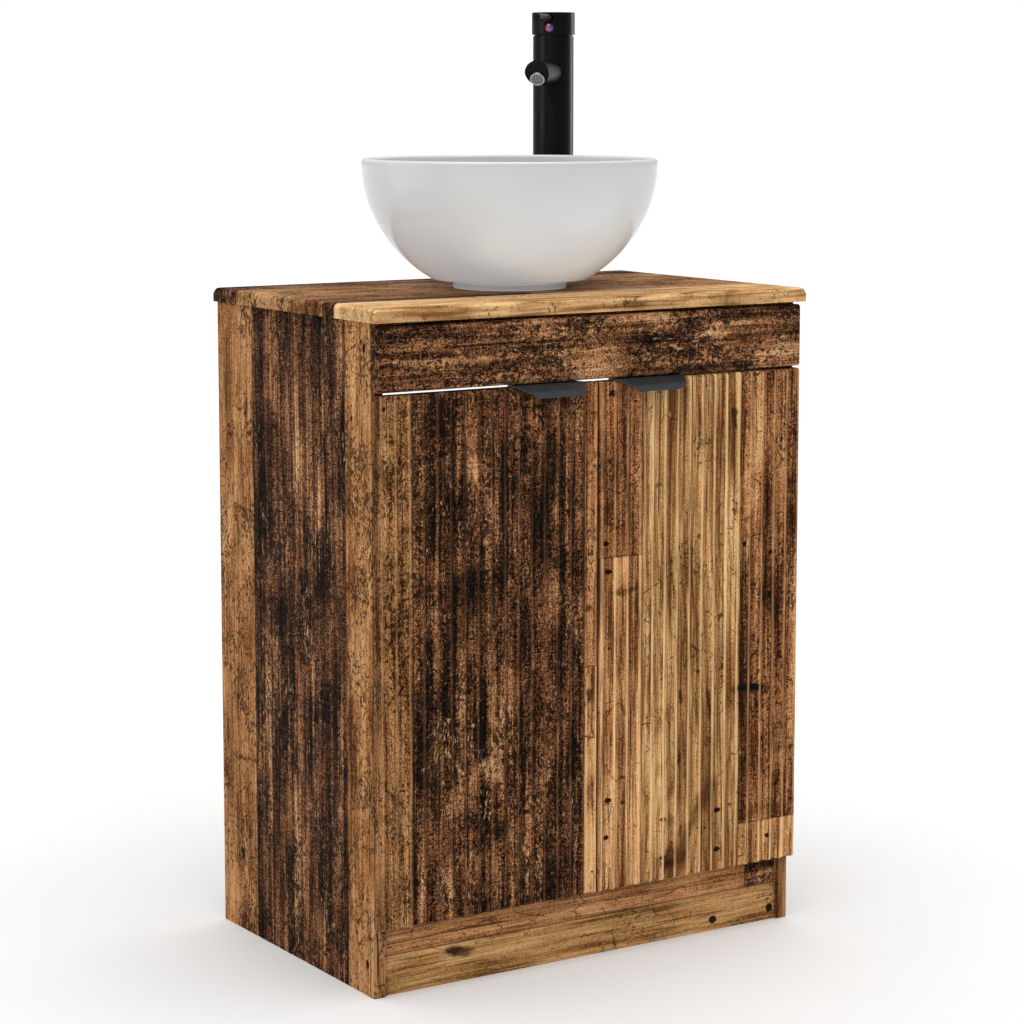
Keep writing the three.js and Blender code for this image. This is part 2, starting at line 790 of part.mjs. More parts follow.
function leverCap() {
  const low = TAP_TOTAL - TAP_CAP_HEIGHT;
  const cap = turned(
    [
      [20.5, low],
      [TAP_CAP_RADIUS - 0.8, low],
      [TAP_CAP_RADIUS, low + 0.8],
      [TAP_CAP_RADIUS, TAP_TOTAL - 1],
      [TAP_CAP_RADIUS - 1, TAP_TOTAL],
      [0, TAP_TOTAL],
      [0, TAP_TOTAL - 9],
      [20.5, TAP_TOTAL - 9],
      [20.5, low],
    ],
    28,
  );
  const socket = rod("y", LEVER_RADIUS + GAP, [0, -40, LEVER_LEVEL], 40 - LEVER_ROOT + GAP, 16);
  const dotSeat = rod("y", DOT_RADIUS + GAP, [0, -40, DOT_LEVEL], 40 - DOT_SEAT, 16);
  return cut(cap, socket, dotSeat);
}

function buildTap() {
  const ring = turned(
    [
      [15, GAP],
      [TAP_RADIUS + 2.4, GAP],
      [TAP_RADIUS + 2.4, TAP_RING_HEIGHT - 0.8],
      [TAP_RADIUS + 1.6, TAP_RING_HEIGHT + GAP],
      [15, TAP_RING_HEIGHT + GAP],
      [15, GAP],
    ],
    24,
  );
  add(vanity, "tap_base_ring", "black", atTap(ring));
  add(vanity, "tap_column", "black", atTap(tapBody()));
  add(vanity, "tap_spout", "black", atTap(tapSpout()));
  add(vanity, "tap_aerator", "nickel", atTap(tapAerator()));

  const shankEnd = SHANK_END - TOP_SURFACE;
  const shank = [
    [9, shankEnd],
    [SHANK_RADIUS, shankEnd],
    [SHANK_RADIUS, TAP_RING_HEIGHT + GAP],
    [9, TAP_RING_HEIGHT + GAP],
    [9, shankEnd],
  ];
  add(vanity, "tap_shank", "nickel", atTap(turned(shank, 24)));
  const nutHigh = -TOP_THICKNESS - GAP;
  const nut = hexagonNut(40, SHANK_RADIUS + GAP, nutHigh - 12, nutHigh);
  add(vanity, "tap_backnut", "nickel", atTap(nut));

  const stem = [
    [0, TAP_BODY_TOP + GAP],
    [12, TAP_BODY_TOP + GAP],
    [12, TAP_BODY_TOP + 9],
    [5, TAP_BODY_TOP + 10],
    [5, TAP_TOTAL - 11.5],
    [0, TAP_TOTAL - 11.5],
  ];
  add(vanity, "tap_cartridge_stem", "nickel", atTap(turned(stem, 24)));
  add(vanity, "tap_lever_cap", "black", atTap(leverCap()));

  const leverLength = SPOUT_REACH - LEVER_ROOT;
  const lever = turned(
    [
      [0, 0],
      [LEVER_RADIUS - 0.7, 0],
      [LEVER_RADIUS, 0.7],
      [LEVER_RADIUS, leverLength],
      [0, leverLength],
    ],
    16,
  );
  const leverPlaced = lever.rotateX(-Math.PI / 2).translate(0, -SPOUT_REACH, LEVER_LEVEL);
  add(vanity, "tap_lever_rod", "black", atTap(leverPlaced));

  const dot = rod("y", DOT_RADIUS, [0, -TAP_CAP_RADIUS, DOT_LEVEL], 1.2, 16);
  add(vanity, "tap_indicator", "indicator", atTap(dot));
}

buildCarcass();
buildCornerBlocks();
buildCountertop();
buildHingeArms();
buildDoors();
buildBasin();
buildTap();

export default vanity;
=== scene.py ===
"""Looks of the bathroom vanity cabinet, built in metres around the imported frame.

The boards carry a printed patchwork of reclaimed planks. Each board is a grid mesh that is
split along its planks' borders, and every plank has a procedural wood material of its own.
The basin, the waste's cap and the tap are fine meshes on the CAD pieces' sizes. The pulls,
the fittings and the inner boards are the CAD's own meshes with materials and round edges.
"""

import json
import math
from collections import namedtuple

import bpy
from mathutils import Matrix, Vector

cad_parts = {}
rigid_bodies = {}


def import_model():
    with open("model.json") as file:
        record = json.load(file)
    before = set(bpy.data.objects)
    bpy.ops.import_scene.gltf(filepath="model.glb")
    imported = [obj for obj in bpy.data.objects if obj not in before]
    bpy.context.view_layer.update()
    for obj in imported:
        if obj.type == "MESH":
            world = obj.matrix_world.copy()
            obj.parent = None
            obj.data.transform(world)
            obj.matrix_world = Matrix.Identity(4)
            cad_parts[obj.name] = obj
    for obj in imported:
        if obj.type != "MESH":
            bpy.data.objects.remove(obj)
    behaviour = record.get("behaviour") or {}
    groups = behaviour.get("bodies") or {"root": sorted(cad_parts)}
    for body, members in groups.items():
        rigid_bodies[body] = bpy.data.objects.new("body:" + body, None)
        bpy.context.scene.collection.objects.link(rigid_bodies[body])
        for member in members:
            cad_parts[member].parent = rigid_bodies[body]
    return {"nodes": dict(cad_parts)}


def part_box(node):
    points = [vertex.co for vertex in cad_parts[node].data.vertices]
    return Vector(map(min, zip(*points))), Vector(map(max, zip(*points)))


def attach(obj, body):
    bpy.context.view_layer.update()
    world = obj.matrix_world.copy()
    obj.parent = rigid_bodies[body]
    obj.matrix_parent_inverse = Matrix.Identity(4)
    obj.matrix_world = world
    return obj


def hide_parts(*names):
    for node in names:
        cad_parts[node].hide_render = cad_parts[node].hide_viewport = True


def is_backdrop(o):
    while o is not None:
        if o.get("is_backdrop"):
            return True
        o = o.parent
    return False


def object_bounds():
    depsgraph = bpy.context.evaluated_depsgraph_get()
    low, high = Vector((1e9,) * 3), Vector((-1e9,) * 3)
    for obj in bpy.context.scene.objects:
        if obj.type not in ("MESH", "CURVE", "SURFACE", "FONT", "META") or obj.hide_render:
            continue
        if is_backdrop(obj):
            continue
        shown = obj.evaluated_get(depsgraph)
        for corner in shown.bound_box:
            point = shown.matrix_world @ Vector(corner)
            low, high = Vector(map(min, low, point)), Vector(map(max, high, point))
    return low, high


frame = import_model()
CAD_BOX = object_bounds()

MM = 0.001
AXES = {"x": 0, "y": 1, "z": 2}
NODES = frame["nodes"]

# Camera ----------

CAMERA_PLACE = (-1.7593, -2.7331, 0.9915)
CAMERA_TURN = 32.7244  # degrees to the right of straight along +Y
CAMERA_DOWN = 7.1554   # degrees below the horizon
CAMERA_LENS = 98.457   # on a 36 mm sensor
CAMERA_SHIFT = -0.0732


def make_camera():
    data = bpy.data.cameras.new("camera")
    data.lens = CAMERA_LENS
    data.sensor_width = 36
    data.shift_y = CAMERA_SHIFT
    camera = bpy.data.objects.new("camera", data)
    camera.location = CAMERA_PLACE
    camera.rotation_euler = (
        math.radians(90 - CAMERA_DOWN),
        0,
        math.radians(-CAMERA_TURN),
    )
    bpy.context.scene.collection.objects.link(camera)
    bpy.context.scene.camera = camera


make_camera()


# Node trees ----------


def linear(red, green, blue):
    """A display colour of 0 to 255 as the linear colour that a shader takes."""
    values = []
    for part in (red, green, blue):
        v = part / 255
        values.append(v / 12.92 if v <= 0.04045 else ((v + 0.055) / 1.055) ** 2.4)
    return (*values, 1.0)


class Graph:
    """One material's node tree, with a short call for each kind of node."""

    def __init__(self, name):
        self.material = bpy.data.materials.new(name)
        self.material.use_nodes = True
        self.tree = self.material.node_tree
        self.tree.nodes.clear()
        out = self.tree.nodes.new("ShaderNodeOutputMaterial")
        self.shader = self.tree.nodes.new("ShaderNodeBsdfPrincipled")
        self.tree.links.new(self.shader.outputs[0], out.inputs[0])
        self.place = self.tree.nodes.new("ShaderNodeTexCoord").outputs["Object"]
        parts = self.tree.nodes.new("ShaderNodeSeparateXYZ")
        self.put(parts.inputs[0], self.place)
        self.parts = parts.outputs

    def put(self, socket, value):
        if isinstance(value, bpy.types.NodeSocket):
            self.tree.links.new(value, socket)
        else:
            socket.default_value = value

    def set(self, name, value):
        """Sets or links one of the surface shader's sockets."""
        self.put(self.shader.inputs[name], value)

    def math(self, operation, first, second=None, third=None, clamp=False):
        node = self.tree.nodes.new("ShaderNodeMath")
        node.operation = operation
        node.use_clamp = clamp
        for socket, value in zip(node.inputs, (first, second, third)):
            if value is not None:
                self.put(socket, value)
        return node.outputs[0]

    def vector(self, operation, first, second):
        node = self.tree.nodes.new("ShaderNodeVectorMath")
        node.operation = operation
        self.put(node.inputs[0], first)
        self.put(node.inputs[1], second)
        return node.outputs[0]

    def noise(self, place, scale, detail=3.0, roughness=0.5, colour=False):
        node = self.tree.nodes.new("ShaderNodeTexNoise")
        self.put(node.inputs["Vector"], place)
        node.inputs["Scale"].default_value = scale
        node.inputs["Detail"].default_value = detail
        node.inputs["Roughness"].default_value = roughness
        return node.outputs[1 if colour else 0]

    def cell_edges(self, place, scale):
        """Distance from the nearest border between cells."""
        node = self.tree.nodes.new("ShaderNodeTexVoronoi")
        node.feature = "DISTANCE_TO_EDGE"
        self.put(node.inputs["Vector"], place)
        node.inputs["Scale"].default_value = scale
        return node.outputs["Distance"]

    def smooth(self, value, low, high, start=0.0, end=1.0):
        """A soft step from start to end while value goes from low to high."""
        node = self.tree.nodes.new("ShaderNodeMapRange")
        node.interpolation_type = "SMOOTHSTEP"
        for socket, v in zip(node.inputs, (value, low, high, start, end)):
            self.put(socket, v)
        return node.outputs[0]

    def mix(self, factor, first, second, blend="MIX"):
        node = self.tree.nodes.new("ShaderNodeMix")
        node.data_type = "RGBA"
        node.blend_type = blend
        self.put(node.inputs[0], factor)
        self.put(node.inputs[6], first)
        self.put(node.inputs[7], second)
        return node.outputs[2]

    def ramp(self, value, stops):
        """A colour ramp from (position, colour) stops."""
        node = self.tree.nodes.new("ShaderNodeValToRGB")
        self.put(node.inputs[0], value)
        elements = node.color_ramp.elements
        while len(elements) < len(stops):
            elements.new(0.5)
        for element, (position, colour) in zip(elements, stops):
            element.position = position
            element.color = colour
        return node.outputs[0]

    def bump(self, height, distance, strength):
        node = self.tree.nodes.new("ShaderNodeBump")
        node.inputs["Strength"].default_value = strength
        node.inputs["Distance"].default_value = distance
        self.put(node.inputs["Height"], height)
        self.set("Normal", node.outputs[0])


# Reclaimed wood ----------

# Where a plank's seven tones lie in the summed noise, darkest first.
TONE_PLACES = (0.336, 0.406, 0.458, 0.50, 0.542, 0.594, 0.664)
PALE_PLACE = 0.80  # beyond the lightest tone lies the pale colour of worn wood

# fibre, band, streak, cloud, grit, tick: how much each noise takes part in the tone.
# pits, wear, cracks: how many dark pits, pale worn flecks and hairline cracks there are.
# rings: how strong the flat-sawn growth rings are. rubbed: how pale a fluted
# board's ridges are, partly rubbed wear and partly a painted highlight. contrast: how far the
# summed noise spreads over the tones.
# tones: display colours from the darkest to the lightest.
TONE_NOISES = ("fibre", "band", "streak", "cloud", "grit", "tick")
Wood = namedtuple("Wood", TONE_NOISES + ("pits", "wear", "cracks", "rings", "rubbed", "contrast",
                                         "tones"))
WOODS = {
    "charred": Wood(
        0.40, 0.40, 0.75, 0.80, 1.20, 0.50, 1.20, 0.60, 0.60, 0.00, 0.14, 1.35,
        ((11, 9, 7), (28, 18, 11), (53, 33, 21), (77, 48, 31), (98, 63, 41),
         (124, 81, 53), (157, 110, 75)),
    ),
    "umber": Wood(
        0.50, 0.50, 0.50, 0.50, 0.90, 0.25, 0.80, 0.20, 0.70, 0.15, 0.45, 1.25,
        ((46, 25, 13), (84, 52, 31), (112, 72, 45), (130, 86, 54), (147, 99, 64),
         (167, 116, 76), (190, 139, 95)),
    ),
    "russet": Wood(
        0.50, 0.50, 0.50, 0.60, 0.90, 0.25, 0.85, 0.20, 0.75, 0.20, 0.50, 1.40,
        ((40, 20, 10), (78, 45, 25), (104, 65, 39), (124, 81, 50), (143, 96, 61),
         (166, 117, 77), (194, 144, 98)),
    ),
    "olive": Wood(
        0.40, 0.30, 0.40, 0.40, 0.90, 0.10, 1.10, 0.10, 0.90, 0.10, 0.40, 1.35,
        ((46, 25, 11), (92, 58, 31), (115, 76, 45), (131, 90, 55), (146, 103, 65),
         (162, 118, 77), (180, 137, 93)),
    ),
    "sand": Wood(
        0.45, 0.20, 0.35, 0.60, 0.70, 0.05, 1.05, 0.05, 0.90, 0.10, 0.40, 1.15,
        ((80, 46, 22), (124, 81, 46), (144, 99, 61), (157, 111, 71), (169, 122, 80),
         (182, 135, 91), (198, 151, 105)),
    ),
    "wheat": Wood(
        0.60, 0.60, 0.45, 0.45, 0.60, 0.10, 0.65, 0.10, 0.70, 0.25, 0.75, 1.10,
        ((80, 46, 23), (128, 85, 52), (154, 109, 70), (171, 124, 82), (186, 139, 94),
         (203, 158, 109), (222, 179, 131)),
    ),
    "honey": Wood(
        0.50, 0.50, 0.75, 0.45, 0.60, 0.10, 0.55, 0.10, 0.80, 0.35, 0.75, 1.05,
        ((84, 50, 25), (122, 82, 47), (143, 103, 64), (159, 120, 78), (174, 136, 91),
         (192, 155, 107), (216, 180, 130)),
    ),
    "pale": Wood(
        0.50, 0.25, 0.45, 0.60, 0.50, 0.05, 0.50, 0.05, 0.60, 0.30, 0.40, 1.15,
        ((130, 87, 50), (174, 131, 85), (191, 150, 102), (203, 162, 114), (214, 174, 125),
         (225, 187, 139), (236, 203, 156)),
    ),
    "plain": Wood(
        0.50, 0.20, 0.40, 0.50, 0.45, 0.03, 0.45, 0.00, 0.60, 0.30, 0.40, 1.15,
        ((96, 62, 34), (136, 96, 56), (151, 111, 68), (161, 121, 77), (170, 130, 85),
         (180, 141, 96), (194, 156, 110)),
    ),
    "rose": Wood(
        0.50, 0.20, 0.40, 0.50, 0.60, 0.05, 0.45, 0.05, 0.70, 0.15, 0.40, 1.15,
        ((98, 58, 33), (138, 92, 59), (153, 106, 70), (163, 116, 78), (173, 125, 86),
         (185, 137, 95), (200, 154, 110)),
    ),
}

# Noises of the print: rates across and along the grain, detail and roughness.
NOISES = {
    "fibre": (520.0, 40.0, 3.0, 0.60),
    "band": (85.0, 2.0, 2.0, 0.50),
    "streak": (150.0, 18.0, 4.0, 0.62),
    "cloud": (30.0, 40.0, 4.0, 0.60),
    "grit": (760.0, 470.0, 3.0, 0.70),
    "tick": (90.0, 620.0, 4.0, 0.70),
    "ring wander": (9.0, 2.2, 2.0, 0.50),
    "hue": (210.0, 26.0, 4.0, 0.65),
    "pit": (270.0, 140.0, 5.0, 0.72),
    "wear": (300.0, 90.0, 5.0, 0.75),
    "wear place": (24.0, 9.0, 3.0, 0.60),
    "line": (14.0, 44.0, 1.5, 0.40),
    "split": (330.0, 12.0, 2.0, 0.50),
}
SWAYED = ("fibre", "streak", "cloud")  # the tone's noises that follow the swayed grain
RING_RATE = 700.0    # radians a metre across the grain
RING_WANDER = 90.0   # radians by which the rings wander
RELIEF = 0.00035     # metres from the print's lowest to its highest place

# Marks on a board. shift moves the tone of the wood under the mark, cover lays the colour
# over it, soft is how wide the rim fades, and ragged is how far the rim strays in metres.
Mark = namedtuple("Mark", "shift cover colour soft ragged")
MARKS = {
    "hole": Mark(0.0, 0.97, (15, 10, 8), 0.22, 0.0010),
    "knot": Mark(-0.04, 0.80, (44, 25, 14), 0.55, 0.0040),
    "stain": Mark(-0.10, 0.25, (36, 21, 12), 0.80, 0.0100),
    "char": Mark(-0.085, 0.12, (20, 12, 8), 0.85, 0.0160),
    "worn": Mark(0.125, 0.0, None, 0.85, 0.0130),
    "scuff": Mark(0.150, 0.0, None, 0.80, 0.0035),
    "rust": Mark(0.035, 0.0, None, 0.70, 0.0120),
    "dusk": Mark(-0.050, 0.0, None, 0.80, 0.0120),
}
DEEP_COVER = 0.9  # marks that cover more than this are sunk into the wood
PALE_FLECK = linear(200, 160, 118)
PLANK_EDGE = linear(30, 18, 11)
# Wood's colour drifts between a greyer and a redder brown from streak to streak.
GREY_TINT = (0.95, 1.01, 1.01, 1.0)
RED_TINT = (1.08, 0.98, 0.86, 1.0)


def stretched(g, place, along, across_rate, along_rate):
    """Coordinates scaled by one rate along the grain and by another across it."""
    rates = [across_rate] * 3
    rates[AXES[along]] = along_rate
    return g.vector("MULTIPLY", place, rates)


def swayed(g, place, scale, amount):
    """Coordinates pushed about by a noise, by up to half of amount each way."""
    colour = g.noise(place, scale, detail=2.0, colour=True)
    centred = g.vector("SUBTRACT", colour, (0.5, 0.5, 0.5))
    return g.vector("ADD", place, g.vector("MULTIPLY", centred, (amount,) * 3))


def mark_mask(g, mark, axes):
    """A mark's reach: 1 inside its oval and 0 outside."""
    kind, u, w, half_u, half_w, tilt = mark
    soft, ragged = MARKS[kind].soft, MARKS[kind].ragged
    place = swayed(g, g.place, 0.45 / max(ragged, 0.002), ragged * 2)
    parts = g.tree.nodes.new("ShaderNodeSeparateXYZ")
    g.put(parts.inputs[0], place)
    du = g.math("SUBTRACT", parts.outputs[AXES[axes[0]]], u)
    dw = g.math("SUBTRACT", parts.outputs[AXES[axes[1]]], w)
    cosine, sine = math.cos(math.radians(tilt)), math.sin(math.radians(tilt))

    def turned(first, second, angle_sine, half):
        rest = g.math("MULTIPLY", second, angle_sine / half)
        return g.math("MULTIPLY_ADD", first, cosine / half, rest)

    turned_u = turned(du, dw, sine, half_u)
    turned_w = turned(dw, du, -sine, half_w)
    squares = g.math("MULTIPLY_ADD", turned_u, turned_u, g.math("MULTIPLY", turned_w, turned_w))
    return g.smooth(g.math("SQRT", squares), 1 - soft, 1 + soft * 0.4, 1.0, 0.0)


def border_distance(g, rect, axes):
    """Distance in metres from a plank's nearest border."""
    u, w = (g.parts[AXES[a]] for a in axes)
    sides = [
        g.math("SUBTRACT", u, rect[0]),
        g.math("SUBTRACT", rect[1], u),
        g.math("SUBTRACT", w, rect[2]),
        g.math("SUBTRACT", rect[3], w),
    ]
    nearest = sides[0]
    for side in sides[1:]:
        nearest = g.math("MINIMUM", nearest, side)
    return nearest


def wood(name, kind, axes, seed, rect=None, marks=(), ridges=None, drawn=(1.0, 1.0, 1.0)):
    """A plank's material.

    axes names the across and the along-grain axis. rect is the plank's borders, and ridges
    holds a fluted board's first ridge, its pitch and its back. drawn is how dense the print is
    along each axis: below 1 it is drawn out there, as over an edge.
    """
    style = WOODS[kind]
    g = Graph(name)
    shift = (seed * 1.37 % 5, seed * 2.91 % 7, seed * 4.13 % 11)
    base = g.vector("ADD", g.vector("MULTIPLY", g.place, drawn), shift)
    grain = swayed(g, stretched(g, base, axes[1], 1.0, 0.25), 9.0, 0.012)

    def noise(key, place):
        """One of the print's noises, at its rates across and along the grain."""
        across_rate, along_rate, detail, roughness = NOISES[key]
        rated = stretched(g, place, axes[1], across_rate, along_rate)
        return g.noise(rated, 1.0, detail, roughness)

    # The tone: a weighted sum of noises about 0.5, spread so that TONE_PLACES fit it.
    layers = {key: noise(key, grain if key in SWAYED else base) for key in TONE_NOISES}
    weights = {key: getattr(style, key) for key in TONE_NOISES}
    spread = math.sqrt(sum(weight**2 for weight in weights.values())) / style.contrast
    tone = 0.5 - 0.5 * sum(weights.values()) / spread
    for key, value in layers.items():
        tone = g.math("MULTIPLY_ADD", value, weights[key] / spread, tone)

    if style.rings:
        turn = g.math("MULTIPLY", noise("ring wander", base), RING_WANDER)
        phase = g.math("MULTIPLY_ADD", g.parts[AXES[axes[0]]], RING_RATE, turn)
        ring = g.smooth(g.math("SINE", phase), -0.2, 1.0, 0.0, -0.16 * style.rings)
        tone = g.math("ADD", tone, ring)

    masks = [(MARKS[mark[0]], mark_mask(g, mark, axes)) for mark in marks]
    for effect, mask in masks:
        if effect.shift:
            tone = g.math("MULTIPLY_ADD", mask, effect.shift, tone)

    stops = [(place, linear(*tones)) for place, tones in zip(TONE_PLACES, style.tones)]
    colour = g.ramp(tone, stops + [(PALE_PLACE, PALE_FLECK)])
    hue = g.ramp(noise("hue", base), [(0.40, GREY_TINT), (0.60, RED_TINT)])
    colour = g.mix(1.0, colour, hue, "MULTIPLY")

    # Pits: the peaks of a fine noise, and more of them where a slow noise is high.
    pit_field = noise("pit", swayed(g, base, 60.0, 0.02))
    pit_place = g.noise(base, 16.0, 3.0, 0.6)
    pit_level = g.math("MULTIPLY_ADD", pit_place, -0.45, 0.905 - 0.13 * style.pits)
    pits = g.math("MULTIPLY", g.smooth(g.math("SUBTRACT", pit_field, pit_level), 0.0, 0.03), 0.88)
    darkest = linear(*(v * 0.62 for v in style.tones[0]))
    colour = g.mix(pits, colour, darkest)

    if style.wear:
        level = g.math("MULTIPLY_ADD", noise("wear place", base), -0.5, 0.97 - 0.14 * style.wear)
        over_level = g.math("SUBTRACT", noise("wear", base), level)
        colour = g.mix(g.smooth(over_level, 0.0, 0.07, 0.0, 0.8), colour, PALE_FLECK)

    def gated(lines, rate, low, high):
        """Lines that show only in the places where a slow noise is high."""
        return g.math("MULTIPLY", lines, g.smooth(g.noise(base, rate, 2.0), low, high))

    # Cracks: borders of cells, a contour line of a noise, and splits along the grain.
    cells = g.cell_edges(swayed(g, stretched(g, base, axes[1], 1.0, 0.6), 24.0, 0.012), 30.0)
    cracks = gated(g.smooth(cells, 0.004, 0.022, 0.85, 0.0), 21.0, 0.60 - 0.1 * style.cracks, 0.66)
    off_line = g.math("ABSOLUTE", g.math("SUBTRACT", noise("line", base), 0.5))
    hairlines = g.smooth(off_line, 0.0015, 0.007, 0.8, 0.0)
    hairlines = gated(hairlines, 34.0, 0.56 - 0.06 * style.cracks, 0.62)
    splits = g.smooth(noise("split", grain), 0.675, 0.71, 0.0, 0.8)
    cracks = g.math("MAXIMUM", g.math("MAXIMUM", cracks, hairlines), splits)
    colour = g.mix(cracks, colour, darkest)

    relief = g.math("SUBTRACT", g.math("MULTIPLY", tone, 0.6), g.math("ADD", pits, cracks))
    for effect, mask in masks:
        if effect.cover:
            covered = g.math("MULTIPLY", mask, effect.cover)
            colour = g.mix(covered, colour, linear(*effect.colour))
        if effect.cover > DEEP_COVER:
            relief = g.math("MULTIPLY_ADD", mask, -1.6, relief)

    if rect:  # a dark and ragged joint along the plank's border
        ragged = g.math("MULTIPLY_ADD", layers["grit"], -0.0045, border_distance(g, rect, axes))
        edge = g.smooth(ragged, -0.0026, -0.0006, 0.8, 0.0)
        colour = g.mix(edge, colour, PLANK_EDGE)

    if ridges:  # pale ridge lines, partly rubbed wear and partly a painted highlight, on the board's front only
        start, pitch, back = ridges
        turn = g.math("DIVIDE", g.math("SUBTRACT", g.parts[0], start - pitch / 2), pitch)
        off_ridge = g.math("ABSOLUTE", g.math("SUBTRACT", g.math("FRACT", turn), 0.5))
        # painted highlight: the ridge tops are made paler as if they catch the light, on top of some
        # rubbed wear
        rubbed = g.smooth(off_ridge, 0.04, 0.13, style.rubbed, 0.0)
        in_front = g.smooth(g.parts[1], back - 0.006, back - 0.005, 1.0, 0.0)
        patchy = g.math("MULTIPLY_ADD", layers["fibre"], 3.0, -0.8, clamp=True)
        rubbed = g.math("MULTIPLY", g.math("MULTIPLY", rubbed, in_front), patchy)
        colour = g.mix(rubbed, colour, linear(*(1.05 * v for v in style.tones[6])))

    g.set("Base Color", colour)
    g.set("Roughness", g.smooth(tone, 0.35, 0.65, 0.70, 0.54))
    g.set("Specular IOR Level", 0.03)
    g.bump(relief, RELIEF, 0.6)
    return g.material


# Other finishes ----------


def speckled(name, colour, other, rough, metal, scale=900.0, depth=0.00005, specular=0.5):
    """A fine-grained coat: two close colours, a patchy roughness and a small relief."""
    g = Graph(name)
    fine = g.noise(g.place, scale, 4.0, 0.6)
    broad = g.noise(g.place, 22.0, 3.0, 0.5)
    blend = g.math("MULTIPLY_ADD", fine, 0.7, g.math("MULTIPLY", broad, 0.3))
    g.set("Base Color", g.ramp(blend, [(0.35, linear(*colour)), (0.65, linear(*other))]))
    g.set("Roughness", g.smooth(broad, 0.3, 0.7, rough * 0.88, rough * 1.12))
    g.set("Metallic", metal)
    g.set("Specular IOR Level", specular)
    g.bump(fine, depth, 0.5)
    return g.material


def brushed(name, colour, other, rough, axis):
    """Metal drawn along one axis."""
    g = Graph(name)
    lines = g.noise(stretched(g, g.place, axis, 2600.0, 60.0), 1.0, 3.0, 0.6)
    broad = g.noise(g.place, 30.0, 2.0)
    g.set("Base Color", g.ramp(lines, [(0.3, linear(*colour)), (0.7, linear(*other))]))
    g.set("Roughness", g.smooth(broad, 0.3, 0.7, rough * 0.85, rough * 1.15))
    g.set("Metallic", 1.0)
    g.bump(lines, 0.00003, 0.4)
    return g.material


def ceramic():
    """White glaze: a very slow wave in the surface under a clear gloss."""
    g = Graph("glazed_white")
    wave = g.noise(g.place, 14.0, 2.0, 0.4)
    fine = g.noise(g.place, 420.0, 2.0, 0.5)
    g.set("Base Color", g.ramp(wave, [(0.3, linear(199, 200, 202)), (0.7, linear(203, 204, 204))]))
    g.set("Roughness", g.smooth(fine, 0.3, 0.7, 0.14, 0.19))
    g.set("Specular IOR Level", 0.3)
    height = g.math("MULTIPLY_ADD", wave, 1.0, g.math("MULTIPLY", fine, 0.03))
    g.bump(height, 0.0006, 0.25)
    return g.material


def indicator():
    """Enamel dot: red on the left half and blue on the right, in a dark ring."""
    g = Graph("indicator_enamel")
    half = g.smooth(g.parts[0], -0.0003, 0.0003)
    cloudy = g.noise(g.place, 900.0, 2.0)
    red = g.ramp(cloudy, [(0.3, linear(206, 26, 16)), (0.7, linear(236, 48, 30))])
    blue = g.ramp(cloudy, [(0.3, linear(14, 52, 206)), (0.7, linear(36, 90, 242))])
    squares = g.math("MULTIPLY", g.parts[0], g.parts[0])
    squares = g.math("MULTIPLY_ADD", g.parts[1], g.parts[1], squares)
    ring = g.smooth(g.math("SQRT", squares), 0.0036, 0.0040)
    g.set("Base Color", g.mix(ring, g.mix(half, red, blue), linear(16, 14, 15)))
    g.set("Roughness", g.smooth(cloudy, 0.3, 0.7, 0.16, 0.24))
    g.set("Coat Weight", 0.6)
    return g.material


def mesh_screen():
    """The aerator's face: a woven screen of fine wires, with painted shade in the openings between
    them.
    """
    g = Graph("aerator_screen")
    pitch = 0.0022
    over = g.math("SINE", g.math("MULTIPLY", g.parts[0], 2 * math.pi / pitch))
    under = g.math("SINE", g.math("MULTIPLY", g.parts[1], 2 * math.pi / pitch))
    weave = g.math("MAXIMUM", over, under)
    wires = g.smooth(weave, 0.1, 0.8)
    # painted shade: the openings between the wires get a near-black colour for the dark inside the
    # aerator
    g.set("Base Color", g.mix(wires, linear(24, 24, 26), linear(150, 151, 152)))
    g.set("Metallic", 0.7)
    g.set("Roughness", g.smooth(wires, 0.0, 1.0, 0.6, 0.3))
    g.bump(weave, 0.0003, 0.8)
    return g.material


TAP_BLACK = speckled("tap_black", (4, 4, 5), (8, 8, 9), 0.34, 0.0, 1400.0, 0.00003, 0.07)
PULL_METAL = speckled("pull_metal", (42, 46, 50), (54, 59, 63), 0.42, 0.5, 1100.0, 0.00003)
CHROME = brushed("chrome", (196, 198, 201), (214, 216, 218), 0.10, "x")
NICKEL = brushed("nickel", (150, 149, 145), (178, 177, 172), 0.32, "z")
RUBBER = speckled("seal_rubber", (22, 22, 21), (34, 33, 31), 0.85, 0.0, 700.0, 0.0001, 0.3)
FITTING = speckled("fitting_plastic", (190, 184, 170), (206, 200, 186), 0.5, 0.0, 800.0)
CERAMIC = ceramic()
INDICATOR = indicator()
SCREEN = mesh_screen()


# Mesh helpers ----------

LEAST_STEP = 0.04 * MM  # grid lines closer together than this are one
CORNER_FALL = 1.2       # most that a board's rounded corner falls, in edge radii


def finish_mesh(name, points, faces, materials, face_slots=None, sharp=35.0):
    """A smooth-shaded object in the scene, with sharp edges over an angle in degrees."""
    mesh = bpy.data.meshes.new(name)
    mesh.from_pydata(points, [], faces)
    for material in materials:
        mesh.materials.append(material)
    if face_slots:
        mesh.polygons.foreach_set("material_index", face_slots)
    mesh.polygons.foreach_set("use_smooth", [True] * len(mesh.polygons))
    mesh.validate()
    mesh.set_sharp_from_angle(angle=math.radians(sharp))
    piece = bpy.data.objects.new(name, mesh)
    bpy.context.scene.collection.objects.link(piece)
    return piece


def settle(piece, body, slot, *nodes):
    """Puts a piece on the body that it rides and hides the CAD nodes that it stands in for; slot is
    not used.
    """
    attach(piece, body)
    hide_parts(*nodes)


def rounding(radius, steps=6):
    """Distances in from an edge at which a rounded edge has its points."""
    return [radius * (1 - math.cos(math.pi / 2 * i / steps)) for i in range(steps + 1)]


def drop(distance, radius):
    """How far a rounded edge's face lies under the flat, at a distance in from the edge."""
    if distance >= radius:
        return 0.0
    return radius - math.sqrt(max(0.0, radius**2 - (radius - distance) ** 2))


